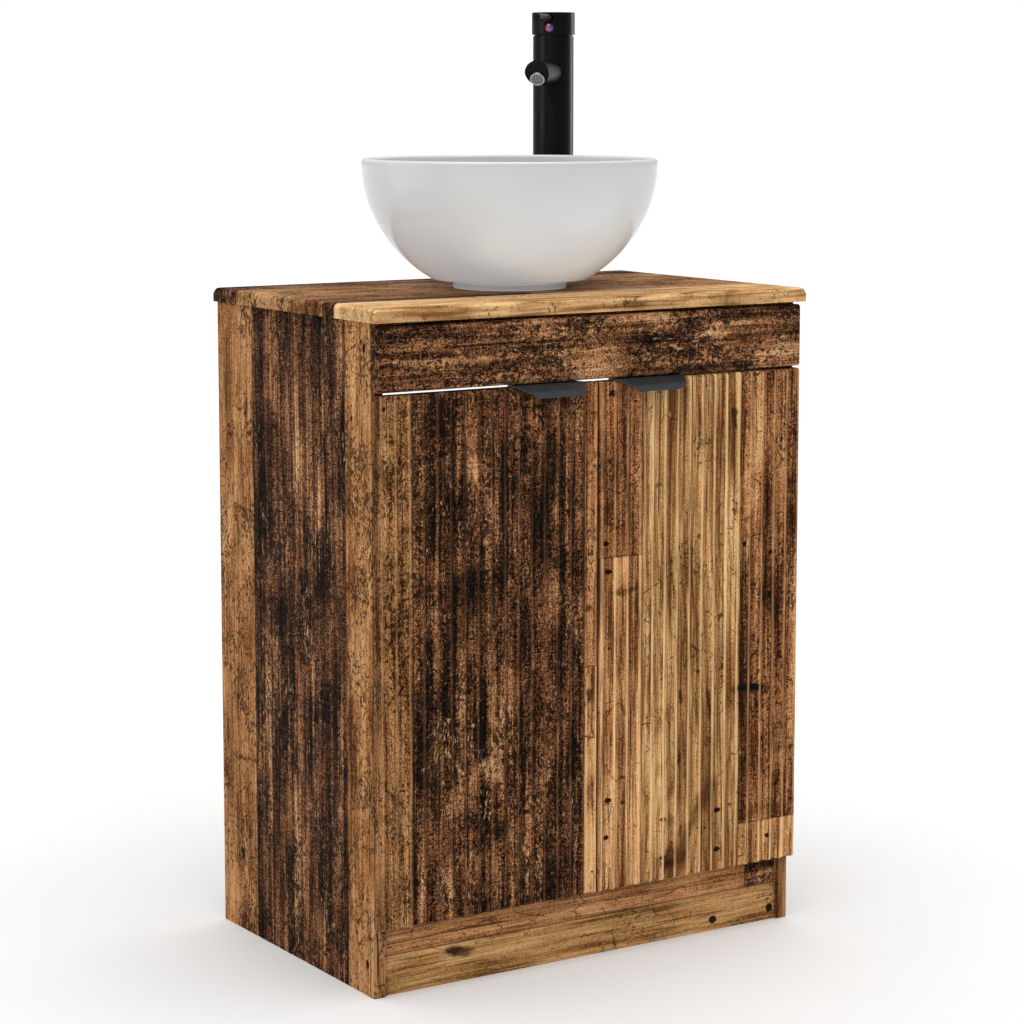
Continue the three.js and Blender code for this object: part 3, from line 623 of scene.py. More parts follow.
def spaced(values):
    """Sorted coordinates without those that all but repeat the one before."""
    kept = []
    for value in sorted(values):
        if not kept or value - kept[-1] > LEAST_STEP:
            kept.append(value)
    return kept


def grid_lines(low, high, radius, borders, step):
    """Sorted coordinates for a grid: rounded ends, plank borders and even steps between."""
    lines = {low + d for d in rounding(radius)} | {high - d for d in rounding(radius)}
    lines |= {b for b in borders if low < b < high}
    count = max(1, round((high - low - 2 * radius) / step))
    for i in range(1, count):
        lines.add(low + radius + (high - low - 2 * radius) * i / count)
    return spaced(lines)


def plank_borders(planks, first):
    """Where the planks start and end along a board's first or second axis."""
    return {p[i] for p in planks for i in ((1, 2) if first else (3, 4))}


def board_mesh(name, us, ws, front, back, place, planks, materials):
    """A closed board: front and back grids over us and ws, joined round the rim.

    front(u, w) and back(u, w) give heights, place(u, w, height) gives the point, and
    planks hold (kind, u0, u1, w0, w1) for the material of each face.
    """
    wide, high = len(us), len(ws)
    points = [place(u, w, face(u, w)) for face in (front, back) for w in ws for u in us]
    offset = wide * high
    faces = []
    slots = []

    def add_face(corners, u, w):
        inside = (k for k, p in enumerate(planks) if p[1] <= u <= p[2] and p[3] <= w <= p[4])
        faces.append(corners)
        slots.append(next(inside, 0))

    for j in range(high - 1):
        for i in range(wide - 1):
            a = j * wide + i
            quad = [a, a + 1, a + wide + 1, a + wide]
            middle = (us[i] + us[i + 1]) / 2, (ws[j] + ws[j + 1]) / 2
            add_face(quad, *middle)
            add_face([offset + k for k in reversed(quad)], *middle)

    rim = [(i, 0) for i in range(wide)] + [(wide - 1, j) for j in range(1, high)]
    rim += [(i, high - 1) for i in range(wide - 2, -1, -1)]
    rim += [(0, j) for j in range(high - 2, 0, -1)]
    for (i0, j0), (i1, j1) in zip(rim, rim[1:] + rim[:1]):
        a = j0 * wide + i0
        b = j1 * wide + i1
        add_face([b, a, offset + a, offset + b], (us[i0] + us[i1]) / 2, (ws[j0] + ws[j1]) / 2)
    return outward(finish_mesh(name, points, faces, materials, slots))


def outward(piece):
    """Turns a closed mesh's faces out."""
    mesh = piece.data
    volume = 0.0
    for polygon in mesh.polygons:
        corners = [mesh.vertices[i].co for i in polygon.vertices]
        for k in range(1, len(corners) - 1):
            volume += corners[0].dot(corners[k].cross(corners[k + 1]))
    if volume < 0:
        mesh.flip_normals()
    return piece


def touches(mark, plank):
    """Whether a mark, with its ragged rim, can reach a plank."""
    _, u, w, half_u, half_w, _ = mark
    reach = max(half_u, half_w) * 1.5 + 10 * MM
    _, u0, u1, w0, w1 = plank
    return u0 - reach < u < u1 + reach and w0 - reach < w < w1 + reach


def laid_out(node, axes, plank_rows, mark_rows):
    """A board's CAD box, and its planks and marks in metres in the shared frame. The rows are
    in mm from the box's lowest corner, along the first two of the axes."""
    low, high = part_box(node)
    corner_u, corner_w = (low[AXES[axis]] for axis in axes[:2])
    planks = []
    for kind, *sides in plank_rows:
        u0, u1, w0, w1 = (n * MM for n in sides)
        planks.append((kind, corner_u + u0, corner_u + u1, corner_w + w0, corner_w + w1))
    marks = []
    for kind, *places in mark_rows:
        for *sizes, tilt in (place if len(place) == 5 else (*place, 0) for place in places):
            u, w, half_u, half_w = (n * MM for n in sizes)
            marks.append((kind, corner_u + u, corner_w + w, half_u, half_w, tilt))
    return low, high, planks, marks


def swapped(planks, marks):
    """The same planks and marks with a board's two axes swapped, for grain along its first."""
    return (
        [(kind, w0, w1, u0, u1) for kind, u0, u1, w0, w1 in planks],
        [(kind, w, u, half_w, half_u, -tilt) for kind, u, w, half_u, half_w, tilt in marks],
    )


def plank_materials(name, planks, marks, axes, seed, **extra):
    """One material for each plank of a board. axes are the board's own two axes, and a
    plank's grain runs along the second one."""
    made = []
    for index, plank in enumerate(planks):
        own = [mark for mark in marks if touches(mark, plank)]
        own_name = f"{name}_{index + 1}"
        made.append(wood(own_name, plank[0], axes, seed + 3 * index, plank[1:], own, **extra))
    return made


def make_board(name, node, body, slot, axes, plank_rows, mark_rows, seed, edge, steps,
               face_at="low", corner_fall=CORNER_FALL, rounded_back=False, grain_first=False,
               columns=(), relief=lambda u: 0.0, **print_style):
    """A fine board in place of a CAD board.

    axes names the axes across and up its face, and the one through it, at whose face_at end
    the face lies. edge is the radius of its rim, steps its grid's steps across and up, and
    columns holds grid lines beside those. relief(u) sinks the face. The grain runs along the
    second axis, or along the first with grain_first.
    """
    low, high, planks, marks = laid_out(node, axes, plank_rows, mark_rows)
    across, up, through = (AXES[axis] for axis in axes)
    if grain_first:
        printed = (*swapped(planks, marks), axes[1] + axes[0])
    else:
        printed = (planks, marks, axes[:2])
    materials = plank_materials(node, *printed, seed, **print_style)
    us = grid_lines(low[across], high[across], edge, plank_borders(planks, True), steps[0])
    us = spaced([*us, *columns])
    ws = grid_lines(low[up], high[up], edge, plank_borders(planks, False), steps[1])
    face, back, inwards = low[through], high[through], 1
    if face_at == "high":
        face, back, inwards = back, face, -1

    def fall(u, w):
        """How far the rounded rim lies under the face."""
        beside = drop(min(u - low[across], high[across] - u), edge)
        above = drop(min(w - low[up], high[up] - w), edge)
        return min(beside + above, edge * corner_fall)

    def place(u, w, height):
        point = [0.0, 0.0, 0.0]
        point[across], point[up], point[through] = u, w, height
        return point

    piece = board_mesh(
        name, us, ws,
        lambda u, w: face + inwards * fall(u, w) + relief(u),
        lambda u, w: back - inwards * fall(u, w) if rounded_back else back,
        place, planks, materials,
    )
    settle(piece, body, slot, node)
    return piece


# Doors ----------

FLUTES = 16
FLUTE_MARGIN = 2.5 * MM
FLUTE_DEPTH = 2.4 * MM
RIDGE_HALF = 1.1 * MM
RIDGE_CROWN = 0.12 * MM  # how far a ridge's sides lie under its top
DOOR_EDGE = 3.5 * MM
RIDGE_SHARES = (-1, -0.5, 0, 0.5, 1)
FLUTE_SHARES = (0.12, 0.24, 0.37, 0.5, 0.63, 0.76, 0.88)
DOOR_STEPS = 1.0         # wider than the door, so its grid has no even steps across
DOOR_SEEDS = {"left": 11, "right": 47}

# Planks: wood, from and to across the board, from and to up it, in mm from its lowest corner.
DOOR_PLANKS = {
    "left": [
        ("olive", -1, 41.5, -1, 586),
        ("charred", 41.5, 264, -1, 586),
        ("umber", 264, 284, 263.5, 586),
        ("wheat", 264, 284, -1, 263.5),
    ],
    "right": [
        ("umber", -1, 58.5, 385, 586),
        ("wheat", -1, 58.5, -1, 385),
        ("honey", 58.5, 198.5, -1, 586),
        ("russet", 198.5, 284, 51, 586),
        ("wheat", 198.5, 284, -1, 51),
    ],
}
# Marks: kind, then for each mark its centre across and up, its half width and half height in
# mm, and any tilt in degrees. Later marks lie over earlier ones.
DOOR_MARKS = {
    "left": [
        ("char", (58, 185, 20, 75), (105, 370, 55, 20, 4), (75, 455, 30, 60), (200, 395, 22, 60),
         (225, 500, 18, 45), (150, 95, 14, 12), (195, 240, 12, 110), (120, 200, 22, 40, 10)),
        ("worn", (148, 190, 11, 68, 2), (138, 160, 20, 14), (196, 275, 5, 10), (118, 500, 5, 22),
         (160, 350, 4, 40), (214, 150, 5, 16)),
        ("rust", (208, 330, 14, 60), (128, 460, 22, 70), (55, 22, 12, 32), (100, 55, 40, 26),
         (210, 130, 24, 26), (52, 208, 8, 7), (150, 545, 60, 26)),
        ("stain", (8, 500, 7, 22, 18), (20, 255, 3, 60, 6)),
        ("hole", (5, 571, 4, 3)),
        ("stain", (34, 440, 12, 5)),
        ("knot", (271, 330, 7, 4), (272, 230, 5, 9)),
        ("stain", (272, 120, 7, 26)),
    ],
    "right": [
        ("hole", (18, 571, 5.5, 4), (8.5, 401, 5, 3), (12, 369, 5, 3.4), (12.5, 105, 5, 3.4),
         (10, 62, 4.6, 3)),
        ("knot", (33, 100, 4, 3), (32, 130, 4, 2.4)),
        ("stain", (10, 440, 8, 18), (18, 420, 16, 4, -35)),
        ("hole", (89.5, 72, 4.6, 3), (167.5, 72, 5, 3.4), (89.5, 27, 4.6, 2.6), (167.5, 25, 5, 3),
         (243.5, 31, 5.4, 3.2), (204, 384, 3, 3), (244.5, 371, 5.5, 3), (243.5, 322, 5.5, 3.6)),
        ("knot", (188.5, 539, 5.5, 6), (188, 530, 3, 12, 8), (213.5, 212, 29, 8, -4)),
        ("hole", (214, 213, 22, 4.5, -4), (232, 150, 2.6, 4)),
        ("knot", (113.5, 213, 4.5, 10), (112, 142, 3, 9), (138, 240, 2.6, 3), (154, 200, 3, 22, 6)),
        ("rust", (140, 478, 10, 24)),
        ("knot", (171, 302, 3, 7, -20)),
        ("char", (103, 22, 26, 20, 8)),
        ("knot", (100, 18, 12, 7, 14)),
        ("stain", (128, 60, 10, 40, -24), (152, 92, 12, 26, -18)),
        ("char", (225, 62, 30, 12)),
        ("dusk", (222, 470, 14, 26), (248, 290, 30, 60), (222, 140, 24, 80)),
        ("char", (276, 430, 6, 60)),
        ("knot", (275, 134, 4, 4)),
        ("rust", (240, 540, 46, 90), (250, 520, 44, 110), (255, 180, 10, 60)),
        ("dusk", (215, 360, 16, 70)),
        ("stain", (35, 345, 26, 4), (52, 330, 4, 26)),
        ("char", (70, 262, 3, 120)),
        ("dusk", (241, 25, 70, 50)),
    ],
}


def flute_depth(x, start, pitch):
    """Depth of the shallow round flute under the ridges, at a place across the door."""
    off_ridge = abs((x - start + pitch / 2) % pitch - pitch / 2)
    if off_ridge < RIDGE_HALF:
        return RIDGE_CROWN * (off_ridge / RIDGE_HALF) ** 2
    share = (pitch / 2 - off_ridge) / (pitch / 2 - RIDGE_HALF)
    return RIDGE_CROWN + (FLUTE_DEPTH - RIDGE_CROWN) * (1 - share**2)


def make_door(side):
    node = f"door_panel_{side}"
    low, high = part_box(node)
    pitch = (high.x - low.x - 2 * FLUTE_MARGIN) / FLUTES
    start = low.x + FLUTE_MARGIN
    columns = set()
    for ridge in range(FLUTES + 1):
        middle = start + ridge * pitch
        columns |= {middle + share * RIDGE_HALF for share in RIDGE_SHARES}
        columns |= {middle + RIDGE_HALF + share * (pitch - 2 * RIDGE_HALF) for share in FLUTE_SHARES}
    make_board(
        f"fluted_door_{side}", node, f"door_{side}", "board_door", "xzy",
        DOOR_PLANKS[side], DOOR_MARKS[side], DOOR_SEEDS[side], DOOR_EDGE, (DOOR_STEPS, 0.06),
        columns=[x for x in columns if low.x <= x <= high.x],
        relief=lambda x: flute_depth(x, start, pitch), ridges=(start, pitch, high.y),
    )


# Carcass boards ----------

PANEL_EDGE = 0.7 * MM
APRON_EDGE = 4.0 * MM
TOP_EDGE = 5.0 * MM
TOP_DRAWN = (1.0, 1.0, 0.6)  # the top's print is drawn out over its rounded edge
SIDE_SEEDS = {"left": 71, "right": 97}
APRON_SEED = 109
PLINTH_SEED = 121
TOP_SEED = 131
BORES = {"waste_body": 25 * MM, "tap_shank": 17.5 * MM}  # radii of the countertop's holes

SIDE_PLANKS = {
    "left": [
        ("sand", -1, 56.5, -1, 743), ("charred", 56.5, 271.5, -1, 743), ("sand", 271.5, 359, -1, 743),
    ],
    "right": [
        ("umber", -1, 84, -1, 743), ("honey", 84, 213, -1, 743), ("charred", 213, 300, -1, 743),
        ("sand", 300, 359, -1, 743),
    ],
}
SIDE_MARKS = {
    "left": [
        ("hole", (14, 713.5, 3.4, 6), (14.5, 35.5, 3.6, 6), (42, 636, 2, 4)),
        ("knot", (36, 441, 3, 11)),
        ("stain", (48, 300, 7, 60), (44, 470, 6, 40)),
        ("hole", (308, 92, 4, 8)),
        ("stain", (309, 14.5, 7, 7)),
        ("knot", (281, 595, 3, 4)),
        ("stain", (298, 625, 28, 2.4, -12), (306, 505, 16, 2.4, -6), (300, 208, 34, 2.4, -5),
         (342, 230, 4, 20, 12)),
        ("scuff", (166, 600, 6, 130)),
        ("worn", (168, 575, 18, 40)),
        ("scuff", (176, 160, 5, 80, -3), (178, 60, 4, 60, -3), (116, 520, 3, 50)),
        ("rust", (118, 560, 10, 130), (252, 300, 14, 60), (262, 642, 7, 12), (82, 110, 16, 90),
         (190, 390, 34, 30), (182, 200, 12, 60)),
        ("char", (248, 540, 22, 190), (158, 442, 16, 14), (80, 640, 12, 90), (62, 130, 6, 160),
         (120, 490, 24, 14), (130, 120, 20, 80), (225, 395, 34, 26)),
        ("dusk", (312, 230, 50, 250), (320, 600, 40, 160)),
    ],
    "right": [
        ("hole", (20, 690, 3.4, 6), (22, 60, 3.4, 6), (318, 700, 3.4, 6), (330, 80, 3.6, 6)),
        ("knot", (150, 470, 9, 16)),
        ("char", (250, 500, 20, 120)),
        ("worn", (262, 260, 9, 90)),
        ("rust", (40, 380, 20, 80)),
        ("stain", (120, 90, 26, 20)),
    ],
}
APRON_PLANKS = [("charred", -1, 571, -1, 73)]
APRON_MARKS = [
    ("worn", (375, 57, 30, 10), (460, 50, 46, 14), (520, 14, 44, 6), (430, 42, 40, 9),
     (100, 38, 8, 5)),
    ("char", (340, 58, 14, 14), (356, 38, 10, 24), (145, 33, 9, 9), (60, 44, 8, 6)),
    ("rust", (285, 36, 330, 62), (285, 7, 280, 9), (120, 14, 60, 8), (420, 12, 90, 10)),
    ("stain", (16, 27, 20, 2.2, 3)),
]
PLINTH_PLANKS = [
    ("plain", -1, 541, -1, 45), ("rose", -1, 495, 45, 80), ("charred", 495, 541, 45, 80),
]
PLINTH_MARKS = [
    ("knot", (88, 37, 12, 5, -8), (98, 34, 20, 7, -6)),
    ("hole", (448, 13, 6, 5), (532, 14, 5, 6)),
    ("stain", (120, 62, 60, 2, 1), (380, 56, 40, 2, 2)),
]
# The countertop's planks run along X and are given from its front edge.
TOP_PLANKS = [
    ("pale", -1, 581, -1, 87), ("charred", -1, 260, 87, 113), ("umber", -1, 260, 113, 180),
    ("sand", 260, 581, 87, 180), ("sand", -1, 581, 180, 317), ("charred", -1, 581, 317, 376),
]
TOP_MARKS = [
    ("knot", (415, 6, 14, 4, 4), (430, 14, 10, 3, -8)),
    ("stain", (478, 8, 16, 6, 12)),
    ("char", (500, 30, 16, 8, 10), (545, 8, 12, 5)),
    ("knot", (92, 160, 7, 12)),
    ("stain", (330, 60, 30, 5, 2), (540, 200, 30, 8), (520, 120, 16, 8)),
    ("rust", (130, 250, 90, 30), (420, 260, 90, 24)),
    ("dusk", (110, 4, 140, 22)),
    ("worn", (0, 250, 70, 70)),
    ("dusk", (0, 146, 90, 50)),
    ("rust", (0, 100, 60, 30), (0, 100, 50, 26)),
]


def make_side_panel(side):
    make_board(
        f"printed_side_{side}", f"side_panel_{side}", "carcass", "board_side", "yzx",
        SIDE_PLANKS[side], SIDE_MARKS[side], SIDE_SEEDS[side], PANEL_EDGE, (0.04, 0.08),
        face_at="low" if side == "left" else "high", corner_fall=1.0, rounded_back=True,
    )


def make_front_boards():
    make_board(
        "printed_apron", "apron_panel", "carcass", "board_apron", "xzy",
        APRON_PLANKS, APRON_MARKS, APRON_SEED, APRON_EDGE, (0.04, 0.02), grain_first=True,
    )
    make_board(
        "printed_plinth", "plinth_board", "carcass", "board_plinth", "xzy",
        PLINTH_PLANKS, PLINTH_MARKS, PLINTH_SEED, PANEL_EDGE, (0.04, 0.02), grain_first=True,
    )


def make_countertop():
    top = make_board(
        "printed_countertop", "countertop", "carcass", "board_top", "xyz",
        TOP_PLANKS, TOP_MARKS, TOP_SEED, TOP_EDGE, (0.04, 0.04),
        face_at="high", grain_first=True, drawn=TOP_DRAWN,
    )
    low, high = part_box("countertop")
    for other, radius in BORES.items():
        a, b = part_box(other)
        middle = (a.x + b.x) / 2, (a.y + b.y) / 2
        cut_away(top, ring_solid(middle, low.z - 0.01, high.z + 0.01, radius))


def ring_solid(middle, low, high, radius, sides=64):
    """An upright cylinder from one height to another, to cut a bore with."""
    points = []
    for z in (low, high):
        for k in range(sides):
            a = 2 * math.pi * k / sides
            points.append((middle[0] + radius * math.cos(a), middle[1] + radius * math.sin(a), z))
    faces = [list(range(sides))[::-1], [sides + k for k in range(sides)]]
    faces += [[k, (k + 1) % sides, sides + (k + 1) % sides, sides + k] for k in range(sides)]
    return outward(finish_mesh("tool", points, faces, []))


def applied(piece):
    """Takes a piece's modifiers into its mesh."""
    bpy.context.view_layer.update()
    graph = bpy.context.evaluated_depsgraph_get()
    mesh = bpy.data.meshes.new_from_object(piece.evaluated_get(graph), depsgraph=graph)
    piece.modifiers.clear()
    piece.data = mesh


def cut_away(piece, tool):
    modifier = piece.modifiers.new("cut", "BOOLEAN")
    modifier.operation = "DIFFERENCE"
    modifier.solver = "EXACT"
    modifier.object = tool
    applied(piece)
    bpy.data.objects.remove(tool)


def round_edges(piece, width, segments, angle):
    """Small round edges of a width in mm, where faces meet at more than an angle in degrees."""
    edge = piece.modifiers.new("edges", "BEVEL")
    edge.width = width * MM
    edge.segments = segments
    edge.limit_method = "ANGLE"
    edge.angle_limit = math.radians(angle)
    edge.harden_normals = True


# Kept CAD boards and fittings ----------

KEPT_SHARP = 32.0  # degrees
INNER_SEED = 151

# Kept boards: wood, the axes across and along the grain, and edge radius in mm.
INNER_BOARDS = {
    "bottom_panel": ("umber", "yx", 0.6),
    "back_rail_bottom": ("olive", "zx", 0.6),
    "back_rail_top": ("umber", "zx", 0.6),
    "front_stretcher": ("olive", "yx", 0.6),
    "shelf": ("russet", "yx", 0.8),
}
# Kept fittings by the start of their names: finish and edge radius in mm.
KEPT_FINISHES = {
    "cam_lock": (NICKEL, 0.25), "shelf_peg": (NICKEL, 0.3), "corner_block": (FITTING, 0.8),
    "hinge_arm": (NICKEL, 0.6), "hinge_cup": (NICKEL, 0.3), "handle_screw": (NICKEL, 0.2),
    "door_bumper": (FITTING, 0.2), "door_handle": (PULL_METAL, 0.35), "waste_body": (CHROME, 0.5),
    "waste_gasket": (RUBBER, 0.5), "waste_locknut": (CHROME, 0.6), "tap_shank": (NICKEL, 0.4),
    "tap_backnut": (NICKEL, 0.6), "tap_cartridge_stem": (NICKEL, 0.3),
}


def keep_node(node, material, bevel):
    """Gives a CAD node its material, small round edges and smooth round faces."""
    piece = NODES[node]
    piece.data.materials.clear()
    piece.data.materials.append(material)
    piece.data.polygons.foreach_set("use_smooth", [True] * len(piece.data.polygons))
    piece.data.set_sharp_from_angle(angle=math.radians(KEPT_SHARP))
    round_edges(piece, bevel, 2, KEPT_SHARP)


def keep_nodes():
    """Dresses the inner boards and the fittings, which stay as the CAD has them."""
    for index, (node, (kind, axes, bevel)) in enumerate(INNER_BOARDS.items()):
        keep_node(node, wood(f"{node}_print", kind, axes, INNER_SEED + 5 * index), bevel)
    for node in NODES:
        for start, (material, bevel) in KEPT_FINISHES.items():
            if node.startswith(start):
                keep_node(node, material, bevel)


# Basin, waste and tap ----------

ON_AXIS = 1e-6  # mm from the axis


def lathe(name, profile, material, sides, matrix, sharp=35.0):
    """A body turned about its own Z from (radius, height) points in mm. The profile runs from
    axis to axis, or it ends where it starts."""
    points = []
    rings = []
    closed = profile[0] == profile[-1]
    for radius, height in profile[:-1] if closed else profile:
        count = 1 if radius < ON_AXIS else sides
        rings.append(list(range(len(points), len(points) + count)))
        if count == 1:
            points.append((0, 0, height * MM))
            continue
        for k in range(sides):
            a = 2 * math.pi * k / sides
            points.append((radius * MM * math.cos(a), radius * MM * math.sin(a), height * MM))
    if closed:
        rings.append(rings[0])
    faces = []
    for first, second in zip(rings, rings[1:]):
        if len(first) == len(second) == 1:
            continue
        for k in range(sides):
            n = (k + 1) % sides
            if len(first) == 1:
                faces.append([first[0], second[n], second[k]])
            elif len(second) == 1:
                faces.append([first[k], first[n], second[0]])
            else:
                faces.append([first[k], first[n], second[n], second[k]])
    piece = outward(finish_mesh(name, points, faces, [material], sharp=sharp))
    piece.matrix_world = matrix
    return piece


def baked(piece):
    """Takes a piece's placement into its mesh, so that its material sees the shared frame."""
    piece.data.transform(piece.matrix_world)
    piece.matrix_world = Matrix.Identity(4)
    return piece


def arc(centre_r, centre_z, radius, start, end, steps):
    """Profile points on a circle, from one angle to another in degrees."""
    points = []
    for i in range(steps + 1):
        a = math.radians(start + (end - start) * i / steps)
        points.append((centre_r + radius * math.cos(a), centre_z + radius * math.sin(a)))
    return points


def dome(radius, level, rise, angles):
    """Profile points on an ellipse about the axis, at angles in degrees."""
    turns = [math.radians(angle) for angle in angles]
    return [(radius * math.cos(a), level + rise * math.sin(a)) for a in turns]


# Basin and waste: radii, and heights over the countertop, in mm.
GAP = 0.3            # between pieces that fit together
BASIN_HEIGHT = 150
BASIN_RADIUS = 171.5
BASIN_DROP = 159     # depth of the ellipse that the outer curve follows
BASIN_INNER = 163.5
BASIN_INNER_DROP = 140
BASIN_LOWEST = 10.5  # where the outer curve turns into the foot
BASIN_SEAT = 16      # the waste's seat
WASTE_HOLE = 22.6
FOOT_RADIUS = 66.4
FOOT_LOW = 0.35
FOOT_ROUND = 1.6
FOOT_INSIDE = [(WASTE_HOLE, 4), (54, 4), (55.2, 3.4), (56, 0.9), (56.8, FOOT_LOW)]
FOOT_OUTSIDE = [(FOOT_RADIUS, 6.0), (FOOT_RADIUS + 0.5, 7.4), (FOOT_RADIUS + 2.0, 8.6)]
PLUG_RADIUS = 29
PLUG_ROUND = 1.4
PLUG_DOME = 3.4
PLUG_STEM = 4        # the stem's radius
PLUG_NECK = 12
PLUG_LENGTH = 30     # how far the stem hangs under the seat


def basin_profile():
    rim = (BASIN_RADIUS - BASIN_INNER) / 2
    level = BASIN_HEIGHT - rim
    steps = 40
    lowest = math.asin((level - BASIN_LOWEST) / BASIN_DROP)
    outer = []
    for i in range(steps + 1):
        a = lowest * (1 - i / steps)
        outer.append((BASIN_RADIUS * math.cos(a), level - BASIN_DROP * math.sin(a)))
    deepest = math.asin((level - BASIN_SEAT - 1.5) / BASIN_INNER_DROP)
    inner = []
    for i in range(steps + 1):
        a = deepest * i / steps
        inner.append((BASIN_INNER * math.cos(a), level - BASIN_INNER_DROP * math.sin(a)))
    foot = FOOT_INSIDE + [(FOOT_RADIUS - FOOT_ROUND, FOOT_LOW)]
    foot += arc(FOOT_RADIUS - FOOT_ROUND, FOOT_LOW + FOOT_ROUND, FOOT_ROUND, -90, 0, 5)
    foot += FOOT_OUTSIDE
    seat = [(34.5, BASIN_SEAT + 0.05), (33, BASIN_SEAT), (WASTE_HOLE + 1, BASIN_SEAT)]
    seat += [(WASTE_HOLE, BASIN_SEAT - 1), FOOT_INSIDE[0]]
    over = arc(BASIN_RADIUS - rim, level, rim, 0, 180, 14)[1:-1]
    return foot + outer + over + inner + seat


def make_basin():
    low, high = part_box("basin")
    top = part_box("countertop")[1].z
    place = Matrix.Translation(((low.x + high.x) / 2, (low.y + high.y) / 2, top))
    basin = lathe("basin_bowl", basin_profile(), CERAMIC, 200, place, 50.0)
    settle(basin, "carcass", "glazed_white", "basin")

    seat = BASIN_SEAT + GAP
    cap = seat + 2.5
    tip = seat - PLUG_LENGTH
    plug = [(0, tip), (PLUG_STEM - 0.6, tip), (PLUG_STEM, tip + 0.6), (PLUG_STEM, seat - 4)]
    plug += [(PLUG_NECK, seat - 1), (PLUG_NECK, cap)]
    plug += [(PLUG_RADIUS - 1.6, cap), (PLUG_RADIUS - 0.6, cap + 0.3)]
    plug += arc(PLUG_RADIUS - PLUG_ROUND, cap + PLUG_ROUND, PLUG_ROUND, -20, 70, 6)
    plug += dome(PLUG_RADIUS, cap + 2.6, PLUG_DOME, (22, 34, 46, 58, 70, 80))
    plug += [(0, cap + 2.6 + PLUG_DOME)]
    piece = lathe("plug_cap", plug, CHROME, 96, place, 40.0)
    settle(piece, "waste_plug_body", "chrome", "waste_plug")


# Tap: radii, heights over the countertop, and reaches from its axis, in mm.
TAP_ANGLE = 45       # degrees by which the spout turns from -Y to the left
TAP_TOTAL = 322
TAP_RADIUS = 24.8
TAP_BODY_TOP = 293.4
TAP_NECK_RADIUS = 23.4
GROOVE_LEVEL = TAP_BODY_TOP - 5.2
GROOVE_DEPTH = 0.35
GROOVE_HALF = 0.5
RING_BORE = 15
RING_TOP = 3.3
CAP_RADIUS = 26.2
CAP_LOW = 295
CAP_HOLLOW = 20.5    # radius of the hollow under the cap
CAP_HOLLOW_TOP = TAP_TOTAL - 9
SPOUT_LEVEL = 248.6
SPOUT_RADIUS = 14.6
SPOUT_ROOT = 21.0
SPOUT_REACH = 100
AERATOR_RADIUS = 8.9
AERATOR_TILT = 35    # degrees by which it faces down from the spout's axis
AERATOR_FACE = 1.2   # where the screen lies in the aerator's own frame
LEVER_RADIUS = 4.3
LEVER_LEVEL = TAP_TOTAL - 7.1
LEVER_ROOT = 12.4
DOT_RADIUS = 5.4
DOT_LEVEL = TAP_TOTAL - 19
DOT_BACK = 25.0
DOT_FACE = 25.7
DOT_DOME = 0.5


def tap_matrix(y=0.0, z=0.0, tilt=0.0):
    """The tap's own frame, with the spout along -Y; tilt turns +Z to face along the spout."""
    ring_low, ring_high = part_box("tap_base_ring")
    foot = Vector(((ring_low.x + ring_high.x) / 2, (ring_low.y + ring_high.y) / 2,
                   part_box("countertop")[1].z))
    turn = Matrix.Rotation(math.radians(-TAP_ANGLE), 4, "Z")
    inside = Matrix.Translation((0, y * MM, z * MM)) @ Matrix.Rotation(math.radians(tilt), 4, "X")
    return Matrix.Translation(foot) @ turn @ inside


def aerator_matrix():
    return tap_matrix(-SPOUT_REACH + 5, SPOUT_LEVEL - 6.9, 90 + AERATOR_TILT)


def make_spout():
    """The spout's tube, with its lower end cut back at a slant for the aerator."""
    tube = [(0, SPOUT_ROOT), (SPOUT_RADIUS, SPOUT_ROOT), (SPOUT_RADIUS, SPOUT_REACH)]
    tube += [(0, SPOUT_REACH)]
    spout = baked(lathe("tap_spout_tube", tube, TAP_BLACK, 96, tap_matrix(0, SPOUT_LEVEL, 90)))
    half = 30 * MM
    slant = finish_mesh(
        "tool",
        [(x, y, z) for y in (-half, 0.0) for z in (-2 * half, 0.0) for x in (-half, half)],
        [[0, 1, 3, 2], [4, 6, 7, 5], [0, 4, 5, 1], [2, 3, 7, 6], [0, 2, 6, 4], [1, 5, 7, 3]],
        [],
    )
    slant.data.transform(tap_matrix(-SPOUT_REACH, SPOUT_LEVEL + 0.5, AERATOR_TILT))
    cut_away(spout, outward(slant))
    reach = AERATOR_RADIUS + GAP
    socket = [(0, -5.6), (reach, -5.6), (reach, 8), (0, 8)]
    cut_away(spout, lathe("tool", socket, TAP_BLACK, 64, aerator_matrix()))
    round_edges(spout, 0.55, 3, 30.0)
    applied(spout)
    settle(spout, "carcass", "tap_black", "tap_spout")


def make_aerator():
    rim = AERATOR_RADIUS
    collar = [(0, -5.5), (rim, -5.5)] + arc(rim - 0.5, 1.7, 0.5, 0, 90, 4)
    collar += arc(rim - 1.5, 1.7, 0.5, 90, 180, 4) + [(rim - 2, AERATOR_FACE), (0, AERATOR_FACE)]
    aerator = lathe("aerator_collar", collar, NICKEL, 72, aerator_matrix())
    aerator.data.materials.append(SCREEN)
    for polygon in aerator.data.polygons:
        centre = polygon.center
        if centre.z > (AERATOR_FACE - 0.1) * MM and math.hypot(centre.x, centre.y) < (rim - 2) * MM:
            polygon.material_index = 1
    settle(aerator, "carcass", "nickel", "tap_aerator")


